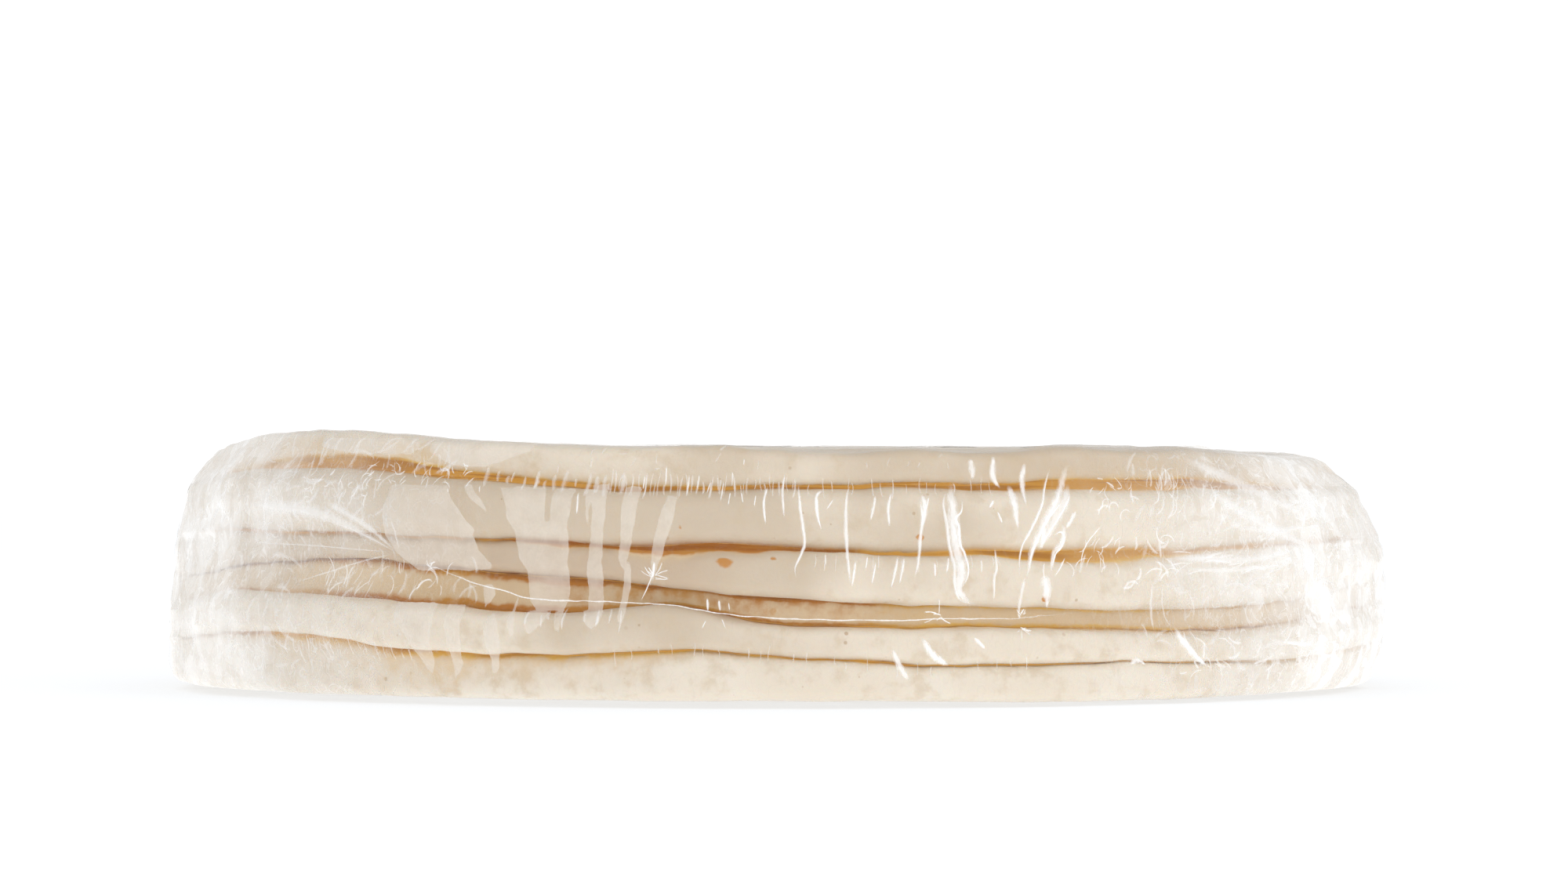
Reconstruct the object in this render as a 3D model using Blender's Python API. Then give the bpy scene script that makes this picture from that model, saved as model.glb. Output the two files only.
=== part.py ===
"""A film-wrapped pack of six round, pale pizza crusts, stacked flat.

Each crust is one solid disc of soft dough with an uneven, rounded rim. The film is one thin
skin, drawn tight round the stack, closed over the top and turned in under the bottom crust.
Metres, +Z up. The pack stands on z = 0, centred on the origin, and its front faces -Y.
"""

import math
from dataclasses import dataclass

import bpy
import numpy as np

# Driving dimensions, in millimetres. Directions are in degrees from the front, positive to the right.
MM = 0.001
COLUMNS = 72  # upright sections round the pack
RIM_RADIUS = 150.0  # where a rim's unevenness is full
RING_RADII = (84.0, 126.0)  # where the discs' flat faces have points
RING_SHARES = (0.08, 0.42)  # how much of the rim's unevenness reaches each ring
CRUST_GAP = 0.3  # between touching crusts
MIDDLE_EXTRA = 0.8  # a crust is this much thicker at its middle than at its rim, on average
FOOT_RADIUS = 112.0  # the flat base that the pack rests on
FOOT_LIFT = 2.5  # how high the rim's underside is off the floor
FOOT_DIPS = ((31, 15, -0.9), (70, 20, -0.4))  # where the rim's underside comes lower
LIP_DEPTH = 0.55  # of the crust's thickness
LIP_ROUNDNESS = 0.8  # under 1 makes a fuller lip than a half circle
LIP_ANGLES = (90.0, 48.0, 0.0, -48.0, -90.0)
LIP_MIDDLE = len(RING_RADII) + LIP_ANGLES.index(0.0)  # the section's row that reaches furthest
WANDER_WAVES = (2, 3, 5, 7)  # slow waves that make the unseen sides uneven too
WANDER_REACH = 1.3
WANDER_THICKNESS = 0.9
HIDDEN_FROM, HIDDEN_FULL = 62.0, 105.0  # directions between which those waves set in

FILM_CLEARANCE = 0.4
FILM_WALL = 0.4
FILM_CLING = 2.5  # how far in from its taut outline the film comes to touch a rim
FILM_DIP = 0.3  # how far in it dips between two rims, as a share of their lips' depth
FILM_TUCK = 5.0  # how far it turns in under the bottom crust
OUTLINE_NORMALS = (54.0, 36.0, 18.0, 0.0, -18.0, -45.0, -65.0)  # degrees up from level

DOUGH = (0.86, 0.79, 0.66, 1.0)
SHADED_DOUGH = (0.78, 0.67, 0.50, 1.0)
DOUGH_ROUGHNESS = 0.75
FILM = (0.95, 0.95, 0.96, 1.0)
FILM_ROUGHNESS = 0.12
FILM_ALPHA = 0.3


@dataclass
class Crust:
    """One crust: its rim's reach and thickness, and where they swell or shrink.

    swells, bays, opening and lift are rows of (direction, half width in degrees, millimetres
    more): of the rim's thickness, of its reach, of the air between it and the crust below, and
    of its top's height, which the crust above is the thinner for.
    """

    name: str
    radius: float
    thickness: float
    swells: tuple
    bays: tuple
    opening: tuple = ()
    lift: tuple = ()
    colour: tuple = DOUGH


CRUSTS = (
    Crust(
        "crust_1_bottom", radius=146.0, thickness=8.8,
        swells=((-58, 12, 5.2), (-12, 9, 1.4), (16, 8, -1.0), (32, 7, 1.0), (50, 10, -1.6)),
        bays=((-92, 26, 3.4), (-40, 18, -1.5), (20, 20, 1.0), (88, 24, -0.8)),
        lift=((-44, 7, 1.3), (-6, 5, 1.3), (29, 12, -1.1)),
    ),
    Crust(
        "crust_2", radius=147.5, thickness=9.0,
        swells=((-34, 14, 2.4), (2, 7, -1.4), (42, 16, -1.8)),
        bays=((-88, 22, 1.2), (-32, 16, 1.5), (2, 8, -1.5), (85, 20, 1.6)),
        lift=((-22, 6, -1.4), (-10, 3.5, 2.9), (-2, 4, -1.2), (9, 6, -0.9), (36, 11, -2.4)),
    ),
    Crust(
        "crust_3", radius=140.0, thickness=5.2, colour=SHADED_DOUGH,
        swells=((-38, 17, 4.0), (16, 11, -1.6), (46, 14, -1.0)),
        bays=((-88, 16, 5.0), (-34, 16, -1.5), (88, 22, 5.5), (180, 60, 4.0)),
        lift=((-43, 6, 1.2), (-5, 4, -1.5), (34, 9, -2.6)),
    ),
    Crust(
        "crust_4", radius=146.0, thickness=10.0,
        swells=((-46, 14, -6.2), (-20, 12, -1.8), (14, 11, 2.6), (30, 6, -2.2), (46, 13, 4.2)),
        bays=((-88, 20, 1.2), (-50, 12, -4.0), (10, 22, 1.0), (82, 18, 2.4)),
        lift=((-44, 6, 1.0), (-10, 7, -2.2), (12, 5.5, -1.4), (26, 4, -1.3), (37, 8, -2.1)),
    ),
    Crust(
        "crust_5", radius=145.5, thickness=12.6,
        swells=((-50, 14, 3.2), (-17, 8, -0.6), (14, 9, 1.4), (48, 9, 0.9), (80, 24, -1.2)),
        bays=((-92, 24, -0.8), (-20, 14, 1.0), (92, 24, -2.6)),
        opening=((29, 5, 3.0), (-6, 4, 1.6)),
        lift=((-42, 6, 0.8), (-14, 9, -1.7), (-6, 3.5, -1.3), (28, 8, -1.2)),
    ),
    Crust(
        "crust_6_top", radius=141.0, thickness=6.8,
        swells=((-36, 12, -0.8), (-14, 10, 0.8), (31, 8, -1.2), (88, 22, -0.8)),
        bays=((-94, 24, -4.0), (4, 26, 2.4), (90, 26, -7.5)),
        opening=((0, 30, 0.6), (-43, 13, 3.2), (38, 13, 2.8)),
    ),
)


@dataclass
class Levels:
    """The heights of a crust's underside and top: all round its rim, and at its flat middle."""

    rim_bottom: np.ndarray
    rim_top: np.ndarray
    flat_bottom: float
    flat_top: float


def off_front(directions, centre=0.0):
    """How far each direction is from a centre, between -180 and 180 degrees."""
    return (directions - centre + 180.0) % 360.0 - 180.0


def bells(directions, rows):
    """The sum of bell-shaped bumps, each (direction, half width, height)."""
    total = np.zeros(len(directions))
    for centre, width, height in rows:
        total += height * np.exp(-0.5 * (off_front(directions, centre) / width) ** 2)
    return total


def wander(directions, seed):
    """Slow, irregular waves that close round the rim, and that the front hardly has."""
    draw = np.random.default_rng(seed)
    total = np.zeros(len(directions))
    for waves in WANDER_WAVES:
        phase = draw.uniform(0.0, 360.0)
        total += np.cos(np.radians(waves * directions + phase)) / math.sqrt(waves)
    share = (np.abs(off_front(directions)) - HIDDEN_FROM) / (HIDDEN_FULL - HIDDEN_FROM)
    share = np.clip(share, 0.0, 1.0)
    return total * share * share * (3.0 - 2.0 * share)


def pile(directions):
    """Every crust's levels, one crust on the other, up from the floor."""
    rim = FOOT_LIFT + bells(directions, FOOT_DIPS)
    flat = 0.0
    lift = 0.0
    levels = []
    for number, crust in enumerate(CRUSTS):
        if number:
            rim = rim + CRUST_GAP + bells(directions, crust.opening)
            flat += CRUST_GAP
        uneven = bells(directions, crust.swells) + WANDER_THICKNESS * wander(directions, 20 + number)
        rim_top = rim + crust.thickness + uneven - lift
        lift = bells(directions, crust.lift)
        rim_top = rim_top + lift
        flat_top = flat + crust.thickness + MIDDLE_EXTRA
        levels.append(Levels(rim, rim_top, flat, flat_top))
        rim, flat = rim_top, flat_top
    return levels


def face_level(radius, rim, flat):
    """A face's height between its flat middle and its uneven rim."""
    share = np.interp(radius, (0.0, *RING_RADII, RIM_RADIUS), (0.0, *RING_SHARES, 1.0))
    return flat + (rim - flat) * share


def foot_level(radius, rim, flat):
    """The pack's underside: flat out to the foot, then lifting to the rim."""
    share = np.interp(radius, (FOOT_RADIUS, RIM_RADIUS), (0.0, 1.0))
    return flat + (rim - flat) * share


def crust_section(number, directions, levels):
    """Rows of (radius, height) for each direction, from the top face round the lip to the base."""
    crust = CRUSTS[number]
    reach = crust.radius + bells(directions, crust.bays)
    reach = reach + WANDER_REACH * wander(directions, 10 + number)
    lip = LIP_DEPTH * crust.thickness
    shoulder = reach - lip
    under = foot_level if number == 0 else face_level
    under_rings = (FOOT_RADIUS,) if number == 0 else RING_RADII[::-1]
    top = face_level(shoulder, levels.rim_top, levels.flat_top)
    bottom = under(shoulder, levels.rim_bottom, levels.flat_bottom)
    middle, half = (top + bottom) / 2.0, (top - bottom) / 2.0

    rows = []
    for ring in RING_RADII:
        heights = face_level(ring, levels.rim_top, levels.flat_top)
        rows.append((np.full(COLUMNS, ring), heights))
    for angle in np.radians(LIP_ANGLES):
        out = max(math.cos(angle), 0.0) ** LIP_ROUNDNESS
        up = math.copysign(abs(math.sin(angle)) ** LIP_ROUNDNESS, angle)
        rows.append((shoulder + lip * out, middle + half * up))
    for ring in under_rings:
        heights = under(ring, levels.rim_bottom, levels.flat_bottom)
        rows.append((np.full(COLUMNS, ring), heights))
    return np.array([np.stack(row, axis=-1) for row in rows])


def film_wall(sections, levels, offset):
    """Rows of (radius, height) for the film, this far outside the stack, from its top down.

    It lies on the top crust. Down the side, straight lines that touch the stack from outside,
    one for each normal, give its taut outline. From there it clings in to each rim, dips between
    rims, and turns in under the lowest one.
    """
    stack = np.concatenate(sections)
    with_neighbours = np.concatenate([np.roll(stack, step, axis=1) for step in (-1, 0, 1)])
    normals = np.radians(OUTLINE_NORMALS)
    outward = np.stack([np.cos(normals), np.sin(normals)], axis=-1)
    touching = np.einsum("pcx,nx->npc", with_neighbours, outward).max(axis=1)

    reached, dipped = [], []
    for crust, section in zip(CRUSTS, sections):
        radius, height = section[LIP_MIDDLE].T
        taut = (touching - height * outward[:, 1:]) / outward[:, :1]
        reached.append(np.maximum(radius, taut.min(axis=0) - FILM_CLING))
        dipped.append(reached[-1] - FILM_DIP * LIP_DEPTH * crust.thickness)

    rows = [row + (0.0, offset) for row in sections[-1][: LIP_MIDDLE - 1]]
    rows.append(sections[-1][LIP_MIDDLE - 1] + offset * math.sqrt(0.5))
    for number in reversed(range(len(CRUSTS))):
        rim_height = sections[number][LIP_MIDDLE][:, 1]
        rows.append(np.stack([reached[number] + offset, rim_height], axis=-1))
        if number:
            dip = np.maximum(dipped[number], dipped[number - 1])
            above, below = levels[number], levels[number - 1]
            seam = face_level(dip, above.rim_bottom, above.flat_bottom)
            seam = (seam + face_level(dip, below.rim_top, below.flat_top)) / 2.0
            rows.append(np.stack([dip + offset, seam], axis=-1))
    rows.append(np.linalg.solve(outward[-2:], touching[-2:] + offset).T)
    edge = rows[-1][:, 0] - FILM_TUCK
    under = foot_level(edge, levels[0].rim_bottom, levels[0].flat_bottom)
    rows.append(np.stack([edge, under - offset], axis=-1))
    return np.array(rows)


def in_space(section, directions):
    """Rows of (radius, height) as points in space."""
    angles = np.radians(directions)
    radius, height = section[..., 0], section[..., 1]
    points = np.stack([radius * np.sin(angles), -radius * np.cos(angles), height], axis=-1)
    return points.reshape(-1, 3)


def closed_faces(rows, turn):
    """Triangles between neighbouring sections, with a fan at each end.

    The fans meet in the two points that follow the rows. Past the turn, where the section runs
    back inwards, the triangles split the other way, so that touching faces split alike.
    """
    faces = []
    last = (rows - 1) * COLUMNS
    first_middle, last_middle = rows * COLUMNS, rows * COLUMNS + 1
    for column in range(COLUMNS):
        following = (column + 1) % COLUMNS
        faces.append((first_middle, column, following))
        faces.append((last_middle, last + following, last + column))
        for row in range(rows - 1):
            here, below = row * COLUMNS, (row + 1) * COLUMNS
            a, b, c, d = here + column, below + column, below + following, here + following
            faces += [(a, b, c), (a, c, d)] if row < turn else [(a, b, d), (b, c, d)]
    return faces


def material(name, colour, roughness, alpha=1.0):
    made = bpy.data.materials.new(name)
    made.use_nodes = True
    shader = made.node_tree.nodes["Principled BSDF"]
    shader.inputs["Base Color"].default_value = colour
    shader.inputs["Roughness"].default_value = roughness
    shader.inputs["Metallic"].default_value = 0.0
    shader.inputs["Alpha"].default_value = alpha
    return made


def add_shell(name, section, middles, turn, directions, centre, finish):
    """One closed solid from its section and the heights of its two middle points."""
    points = in_space(section, directions)
    points = np.vstack([points, [(0.0, 0.0, height) for height in middles]])
    points = (points - (*centre, 0.0)) * MM
    mesh = bpy.data.meshes.new(name)
    mesh.from_pydata(points, [], closed_faces(len(section), turn))
    mesh.shade_smooth()
    mesh.materials.append(finish)
    bpy.context.scene.collection.objects.link(bpy.data.objects.new(name, mesh))


for old in list(bpy.data.objects):
    bpy.data.objects.remove(old, do_unlink=True)

directions = np.arange(COLUMNS) * 360.0 / COLUMNS
levels = pile(directions)
sections = [crust_section(number, directions, levels[number]) for number in range(len(CRUSTS))]
inner_wall = film_wall(sections, levels, FILM_CLEARANCE)
outer_wall = film_wall(sections, levels, FILM_CLEARANCE + FILM_WALL)
outline = in_space(outer_wall, directions)[:, :2]
centre = (outline.min(axis=0) + outline.max(axis=0)) / 2.0

for crust, section, level in zip(CRUSTS, sections, levels):
    middles = (level.flat_top, level.flat_bottom)
    finish = material(crust.name, crust.colour, DOUGH_ROUGHNESS)
    add_shell(crust.name, section, middles, LIP_MIDDLE, directions, centre, finish)

top = levels[-1].flat_top + FILM_CLEARANCE
finish = material("film_wrap", FILM, FILM_ROUGHNESS, FILM_ALPHA)
both_walls = np.concatenate([outer_wall, inner_wall[::-1]])
add_shell(
    "film_wrap", both_walls, (top + FILM_WALL, top), len(outer_wall), directions, centre, finish
)
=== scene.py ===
"""A film-wrapped pack of six pizza crusts, dressed for a plain studio picture.

Lengths are millimetres until a mesh is made. A direction is in degrees from the front, which
faces -Y, and positive to the right. A place on the front is (across, up): across from the
middle, positive to the right, and up from the floor.
"""

import math
from functools import partial

import bmesh
import bpy
import numpy as np
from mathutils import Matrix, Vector
from mathutils.bvhtree import BVHTree


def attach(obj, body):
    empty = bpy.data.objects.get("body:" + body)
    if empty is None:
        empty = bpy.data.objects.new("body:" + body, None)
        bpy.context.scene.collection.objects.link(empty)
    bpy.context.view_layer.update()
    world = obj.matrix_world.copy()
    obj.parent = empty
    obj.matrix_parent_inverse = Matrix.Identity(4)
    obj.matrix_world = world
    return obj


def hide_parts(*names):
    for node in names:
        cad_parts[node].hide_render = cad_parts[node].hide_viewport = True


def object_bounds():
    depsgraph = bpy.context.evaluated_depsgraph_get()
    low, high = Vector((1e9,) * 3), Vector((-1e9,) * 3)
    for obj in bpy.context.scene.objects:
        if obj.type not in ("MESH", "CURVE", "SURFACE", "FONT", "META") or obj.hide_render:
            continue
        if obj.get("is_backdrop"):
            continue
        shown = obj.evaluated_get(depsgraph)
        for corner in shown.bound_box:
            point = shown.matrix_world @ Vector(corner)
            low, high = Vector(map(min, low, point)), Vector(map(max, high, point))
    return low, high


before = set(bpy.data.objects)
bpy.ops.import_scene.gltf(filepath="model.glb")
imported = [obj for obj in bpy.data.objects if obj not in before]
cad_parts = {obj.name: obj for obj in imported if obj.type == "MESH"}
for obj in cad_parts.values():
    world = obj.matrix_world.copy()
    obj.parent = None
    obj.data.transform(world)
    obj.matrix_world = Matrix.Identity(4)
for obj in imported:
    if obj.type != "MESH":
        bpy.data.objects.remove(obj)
cad_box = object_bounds()

# ---------------------------------------------------------------------------------------------
# The crusts: six round discs of soft, pale, par-baked wheat dough, stacked flat. Each is the CAD
# crust made finer: the same reach and thickness all round, with the lumps of hand-pressed dough
# on its rolled rim. Nothing fixes them: the film holds the stack.
MM = 0.001
COLUMNS = 1200  # directions round the pack
FACE_STEPS = (6, 7, 6)  # rings over a crust's top: middle to 84 mm, to 126 mm, to its shoulder
UNDER_STEPS = 4  # rings over each such part of its underside
LIP_STEPS = 22
LIP_ROUNDNESS = 0.54  # under 1 makes a fuller lip than a half circle
LIP_RINGS = (2, 4, 6)  # the CAD rings at the lip's top, its furthest reach and its bottom
RIM_LUMPS = ((26.0, 0.45), (11.0, 0.42), (5.0, 0.22), (2.4, 0.09))  # (size, height)
LUMP_FADE = 0.7  # under 1 carries the lumps further over the lip
FACE_LUMPS = ((24.0, 0.5), (8.0, 0.16))
SEAM_WAVES = ((15.0, 0.55), (6.0, 0.28), (3.0, 0.1))  # (size, height) of the gaps' ups and downs
SEAM_STRETCH = (1.0, 1.0, 0.5)  # the waves change less upwards than round the pack
SEAM_RISE = 9.0  # they have their full height from here up
SEAM_RADII = (105.0, 135.0)  # and grow from none to full between these
FLOOR_GAP = 0.12  # the film's thickness and a little air under the bottom crust
CRUSTS = ("crust_1_bottom", "crust_2", "crust_3", "crust_4", "crust_5", "crust_6_top")
REACH = 148.0  # the rims' usual distance from the pack's axis
BACK = 150.0  # values for the front have gone over to the back's own at this direction
# How pale each crust is near its rim, at directions: partly its own bake, and partly painted light
# and shade, paler where the lamps and the floor light it, darker where it lies in shade.
# Everywhere else it is as pale as usual.
PALE_DIRECTIONS = (-35.0, -8.0, 12.0, 35.0)
PALE_BACK = 100.0
PALE_RADII = (75.0, 130.0)
USUAL_PALENESS = 0.1
PALENESS_AND_LIGHT = (
    (0.65, 0.42, 0.38, 0.45),
    (0.35, -0.15, 0.25, 0.35),
    (-0.15, -0.15, -0.15, -0.15),
    (-0.60, -0.55, 0.16, 0.25),
    (-0.25, -0.20, -0.02, 0.25),
    (0.35, 0.03, -0.20, -0.20),
)

# How dark the painted shade of each gap is at directions, from the lowest: on the lip over it and
# on the lip under it. Over 1 it also spreads down, or up, the lip's front.
GAP_DIRECTIONS = (-60, -40, -33, -25, -10, 5, 20, 40, 60)
GAP_SHARES = (
    ((0.6, 0.8, 1.1, 1.1, 0.7, 1.0, 0.5, 0.3, 0.3), (0.8, 1.0, 1.4, 1.3, 1.3, 1.2, 0.6, 0.4, 0.3)),
    ((1.0, 1.0, 1.0, 1.0, 1.0, 0.9, 0.6, 0.4, 0.5), (0.5, 0.5, 0.5, 0.5, 0.3, 0.6, 0.5, 0.5, 0.5)),
    ((0.6, 0.6, 0.8, 0.8, 0.8, 0.6, 0.5, 0.4, 0.5), (1.0, 1.0, 1.0, 1.1, 1.3, 1.1, 0.7, 0.6, 0.6)),
    ((0.6, 0.6, 1.0, 1.3, 0.4, 1.0, 0.5, 0.9, 0.6), (0.6, 0.6, 0.9, 1.4, 2.3, 1.2, 1.3, 1.7, 0.8)),
    ((1.4, 2.0, 1.5, 0.8, 0.5, 0.5, 0.8, 1.1, 0.8), (1.0, 1.3, 0.8, 0.5, 0.3, 0.3, 0.4, 1.4, 0.6)),
)
GAP_BEHIND = 0.8  # the same share at the back
GAP_SPREAD = 3.0  # how far it spreads, in millimetres for each share over 1
DEEP_FROM = (2.0, 4.5)  # from here in, shares no longer count: every gap is painted dark inside
GAP_WAVER = (13.0, 0.35)  # how far apart, and how much, each gap's painted darkness comes and goes
BROWN_SHARES = (0.5, 0.8, 1.1, 1.25, 0.3)  # how brown each gap's painted shade is, rather than amber
BROWN_FADES = (8.0, 34.0)  # the directions between which the brown goes over to amber
BROWN_BEHIND = 0.4
# The third crust is set back, so that painted shade lies on its face too: how much, at the same
# directions.
SET_BACK = 2
FACE_SHADES = (0.25, 0.25, 0.25, 0.3, 0.62, 0.6, 0.45, 0.15, 0.1)
FACE_SHADE_BEHIND = 0.3
FACE_SHADE_UP = (0.75, 0.25)  # its usual share, and how much more on parts that face up
SHADE_BROWN = 0.6  # how much browner that crust's painted shade is

# Toasted bubbles on the rims: (across, up, half width, half height).
TOASTED = (
    (-11.6, 33.2, 2.1, 1.0),
    (-0.4, 34.0, 0.8, 0.5),
    (-0.4, 21.9, 1.0, 0.9),
    (-37.3, 41.5, 0.6, 0.4),
    (-21.8, 40.6, 0.6, 0.4),
    (-47.5, 37.4, 1.8, 0.5),
    (33.4, 38.6, 1.1, 0.8),
    (62.0, 24.6, 0.9, 0.7),
)


def noise(points, size, seed):
    """Smooth random values between -1 and 1 in space, which change over about this size."""
    cell = np.floor(points / size).astype(np.int64)
    inside = points / size - cell
    blend = inside * inside * (3.0 - 2.0 * inside)
    total = np.zeros(points.shape[:-1])
    for corner in np.ndindex(2, 2, 2):
        x, y, z = np.moveaxis(cell + corner, -1, 0)
        mixed = (x * 73856093) ^ (y * 19349663) ^ (z * 83492791) ^ (seed * 40503 + 977)
        mixed = ((mixed ^ (mixed >> 13)) * 1274126177) & 0x7FFFFFFF
        mixed = ((mixed ^ (mixed >> 11)) * 668265263) & 0x7FFFFFFF
        share = np.prod(np.where(corner, blend, 1.0 - blend), axis=-1)
        total += share * (mixed / 0x3FFFFFFF - 1.0)
    return total


def lumps(points, sizes, seed):
    """The sum of several sizes of lump."""
    steps = enumerate(sizes, seed)
    return sum(height * noise(points, size, own_seed) for own_seed, (size, height) in steps)


def finer(rows):
    """Rows round the pack, read at every column, on smooth curves through their few values."""
    count = rows.shape[1]
    place = np.arange(COLUMNS) * count / COLUMNS
    first = np.floor(place).astype(int)
    t = (place - first)[:, None]
    before, here, following, after = (rows[:, (first + step) % count] for step in (-1, 0, 1, 2))
    bend = 2.0 * before - 5.0 * here + 4.0 * following - after
    twist = 3.0 * (here - following) + after - before
    return here + 0.5 * t * (following - before + t * (bend + t * twist))


def read_rings(name):
    """A CAD crust: rings of (radius, height) from its top down, its middle's heights, its axis."""
    solid = bmesh.new()
    solid.from_mesh(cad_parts[name].data)
    bmesh.ops.remove_doubles(solid, verts=solid.verts, dist=0.01 * MM)
    middles = sorted(solid.verts, key=lambda point: len(point.link_edges))[-2:]
    top, bottom = sorted(middles, key=lambda point: -point.co.z)
    axis = np.array(top.co[:2]) / MM
    heights = (top.co.z / MM, bottom.co.z / MM)
    rings = []
    seen = {top}
    ring = {edge.other_vert(top) for edge in top.link_edges}
    while bottom not in ring:
        row = np.empty((len(ring), 2))
        for point in ring:
            across, back = np.array(point.co[:2]) / MM - axis
            place = round(math.atan2(across, -back) / math.tau * len(ring)) % len(ring)
            row[place] = (math.hypot(across, back), point.co.z / MM)
        rings.append(row)
        seen |= ring
        ring = {edge.other_vert(point) for point in ring for edge in point.link_edges} - seen
    solid.free()
    return np.array(rings), heights, axis


def span(start, end, steps):
    """Rings on straight lines from one ring to the next, without the last."""
    return [start + (end - start) * step / steps for step in range(steps)]


def in_space(section, direction):
    """(radius, height) round the pack's axis as points in space."""
    angle = np.radians(direction)
    across = section[..., 0] * np.sin(angle) + axis[0]
    back = -section[..., 0] * np.cos(angle) + axis[1]
    return np.stack([across, back, section[..., 1]], axis=-1)


def outward(section):
    """Each ring's normal in its upright plane, where the rings run from the top down."""
    along = np.gradient(section, axis=0)
    along /= np.linalg.norm(along, axis=-1, keepdims=True) + 1e-9
    return np.stack([-along[..., 1], along[..., 0]], axis=-1)


def sheet_faces(rows, columns, closed=True):
    """Four-cornered faces between neighbouring rings, seen from outside."""
    row, column = np.mgrid[: rows - 1, : columns - (not closed)]
    following = (column + 1) % columns
    here, below = row * columns, (row + 1) * columns
    corners = [here + column, below + column, below + following, here + following]
    return np.stack(corners, axis=-1).reshape(-1, 4)


def fan_faces(ring_start, middle, facing_up):
    """Triangles from a ring to its middle point."""
    column = np.arange(COLUMNS)
    here, following = ring_start + column, ring_start + (column + 1) % COLUMNS
    middles = np.full(COLUMNS, middle)
    corners = (middles, here, following) if facing_up else (middles, following, here)
    return np.stack(corners, axis=-1)


def carry(mesh, values):
    """Gives each point of a mesh a value under each name."""
    for name, numbers in values.items():
        made = mesh.attributes.new(name, "FLOAT", "POINT")
        made.data.foreach_set("value", np.asarray(numbers, np.float32).ravel())


def placed(name, data):
    """An object in the scene."""
    thing = bpy.data.objects.new(name, data)
    bpy.context.scene.collection.objects.link(thing)
    return thing


def make_piece(name, points, faces, finish, slot, nodes, **values):
    """A smooth piece from points in millimetres, riding on the pack, in a CAD node's place."""
    mesh = bpy.data.meshes.new(name)
    corners = np.concatenate([part.ravel() for part in faces]).astype(np.int32)
    sizes = np.concatenate([np.full(len(part), part.shape[1]) for part in faces])
    mesh.vertices.add(len(points))
    mesh.vertices.foreach_set("co", (points * MM).astype(np.float32).ravel())
    mesh.loops.add(len(corners))
    mesh.loops.foreach_set("vertex_index", corners)
    mesh.polygons.add(len(sizes))
    mesh.polygons.foreach_set("loop_start", (np.cumsum(sizes) - sizes).astype(np.int32))
    mesh.update(calc_edges=True)
    mesh.shade_smooth()
    carry(mesh, values)
    mesh.materials.append(finish)
    piece = placed(name, mesh)
    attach(piece, "root")
    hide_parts(*nodes)
    return piece


def give(made, inputs):
    """Sets or links a node's inputs. A colour may come without its alpha."""
    for name, value in inputs.items():
        socket = made.inputs[name]
        if isinstance(value, bpy.types.NodeSocket):
            made.id_data.links.new(value, socket)
        else:
            socket.default_value = (*value, 1.0) if socket.type == "RGBA" else value


def node(tree, kind, inputs=(), **settings):
    """A node with its settings, and its inputs set or linked."""
    made = tree.nodes.new(kind)
    for name, value in settings.items():
        setattr(made, name, value)
    give(made, dict(inputs))
    return made


def fed(kind, *values, **settings):
    """The first output of a node whose first inputs take these values, some of them linked."""
    tree = next(value.id_data for value in values if isinstance(value, bpy.types.NodeSocket))
    return node(tree, kind, enumerate(values), **settings).outputs[0]


def maths(operation, *values, clamp=False):
    """One sum of values."""
    return fed("ShaderNodeMath", *values, operation=operation, use_clamp=clamp)


plus, minus, times = (partial(maths, operation) for operation in ("ADD", "SUBTRACT", "MULTIPLY"))


def ramp(value, low, high, to_low=0.0, to_high=1.0, smooth=True):
    """A value carried from one range to another."""
    kind = "SMOOTHSTEP" if smooth else "LINEAR"
    return fed("ShaderNodeMapRange", value, low, high, to_low, to_high, interpolation_type=kind)


def evenly(value, low, high):
    """A value from 0 to 1 carried to a range."""
    return ramp(value, 0.0, 1.0, low, high, smooth=False)


def mottle(where, size, detail=2.0, roughness=0.5):
    """Soft random patches of about this size, from 0 to 1."""
    inputs = {"Vector": where, "Scale": 1.0 / (size * MM), "Detail": detail, "Roughness": roughness}
    return node(where.id_data, "ShaderNodeTexNoise", inputs).outputs["Fac"]


def tint(share, first, second):
    """One colour over another."""
    mixed = node(share.id_data, "ShaderNodeMix", data_type="RGBA")
    give(mixed, {0: share, 6: first, 7: second})
    return mixed.outputs[2]


def read(tree, attribute):
    """A value that the mesh carries."""
    return node(tree, "ShaderNodeAttribute", attribute_name=attribute).outputs["Fac"]


def new_finish(name):
    """A material with one Principled shader, its node tree, and its Object coordinates."""
    finish = bpy.data.materials.new(name)
    finish.use_nodes = True
    tree = finish.node_tree
    where = node(tree, "ShaderNodeTexCoord").outputs["Object"]
    return finish, tree, tree.nodes["Principled BSDF"], where


CREAM = (0.71, 0.59, 0.45)
PALE_CREAM = (0.89, 0.79, 0.655)
# The next two tones are painted light and painted shade: the palest where the lamps and the floor
# light the dough most, the darker one where it lies in shade.
PAINTED_LIGHT_CREAM = (0.95, 0.865, 0.745)
SHADED_CREAM = (0.645, 0.50, 0.36)
WARM_CREAM = (0.70, 0.56, 0.39)
# Painted shade in the gaps between the crusts and on the set-back crust, from amber to brown.
AMBER_SHADE = (0.60, 0.45, 0.29)
GAP_SHADE_AMBER = (0.58, 0.37, 0.11)
GAP_SHADE_BROWN = (0.42, 0.165, 0.025)
BRAN = (0.50, 0.33, 0.17)
TOAST = (0.62, 0.28, 0.07)
PAINTED_SHADE_GLOW = (0.13, 0.095, 0.045)  # painted light: glows that stand in for light carried through the dough into its shade
PAINTED_GAP_GLOW = (0.225, 0.152, 0.035)  # and into the gaps
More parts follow.
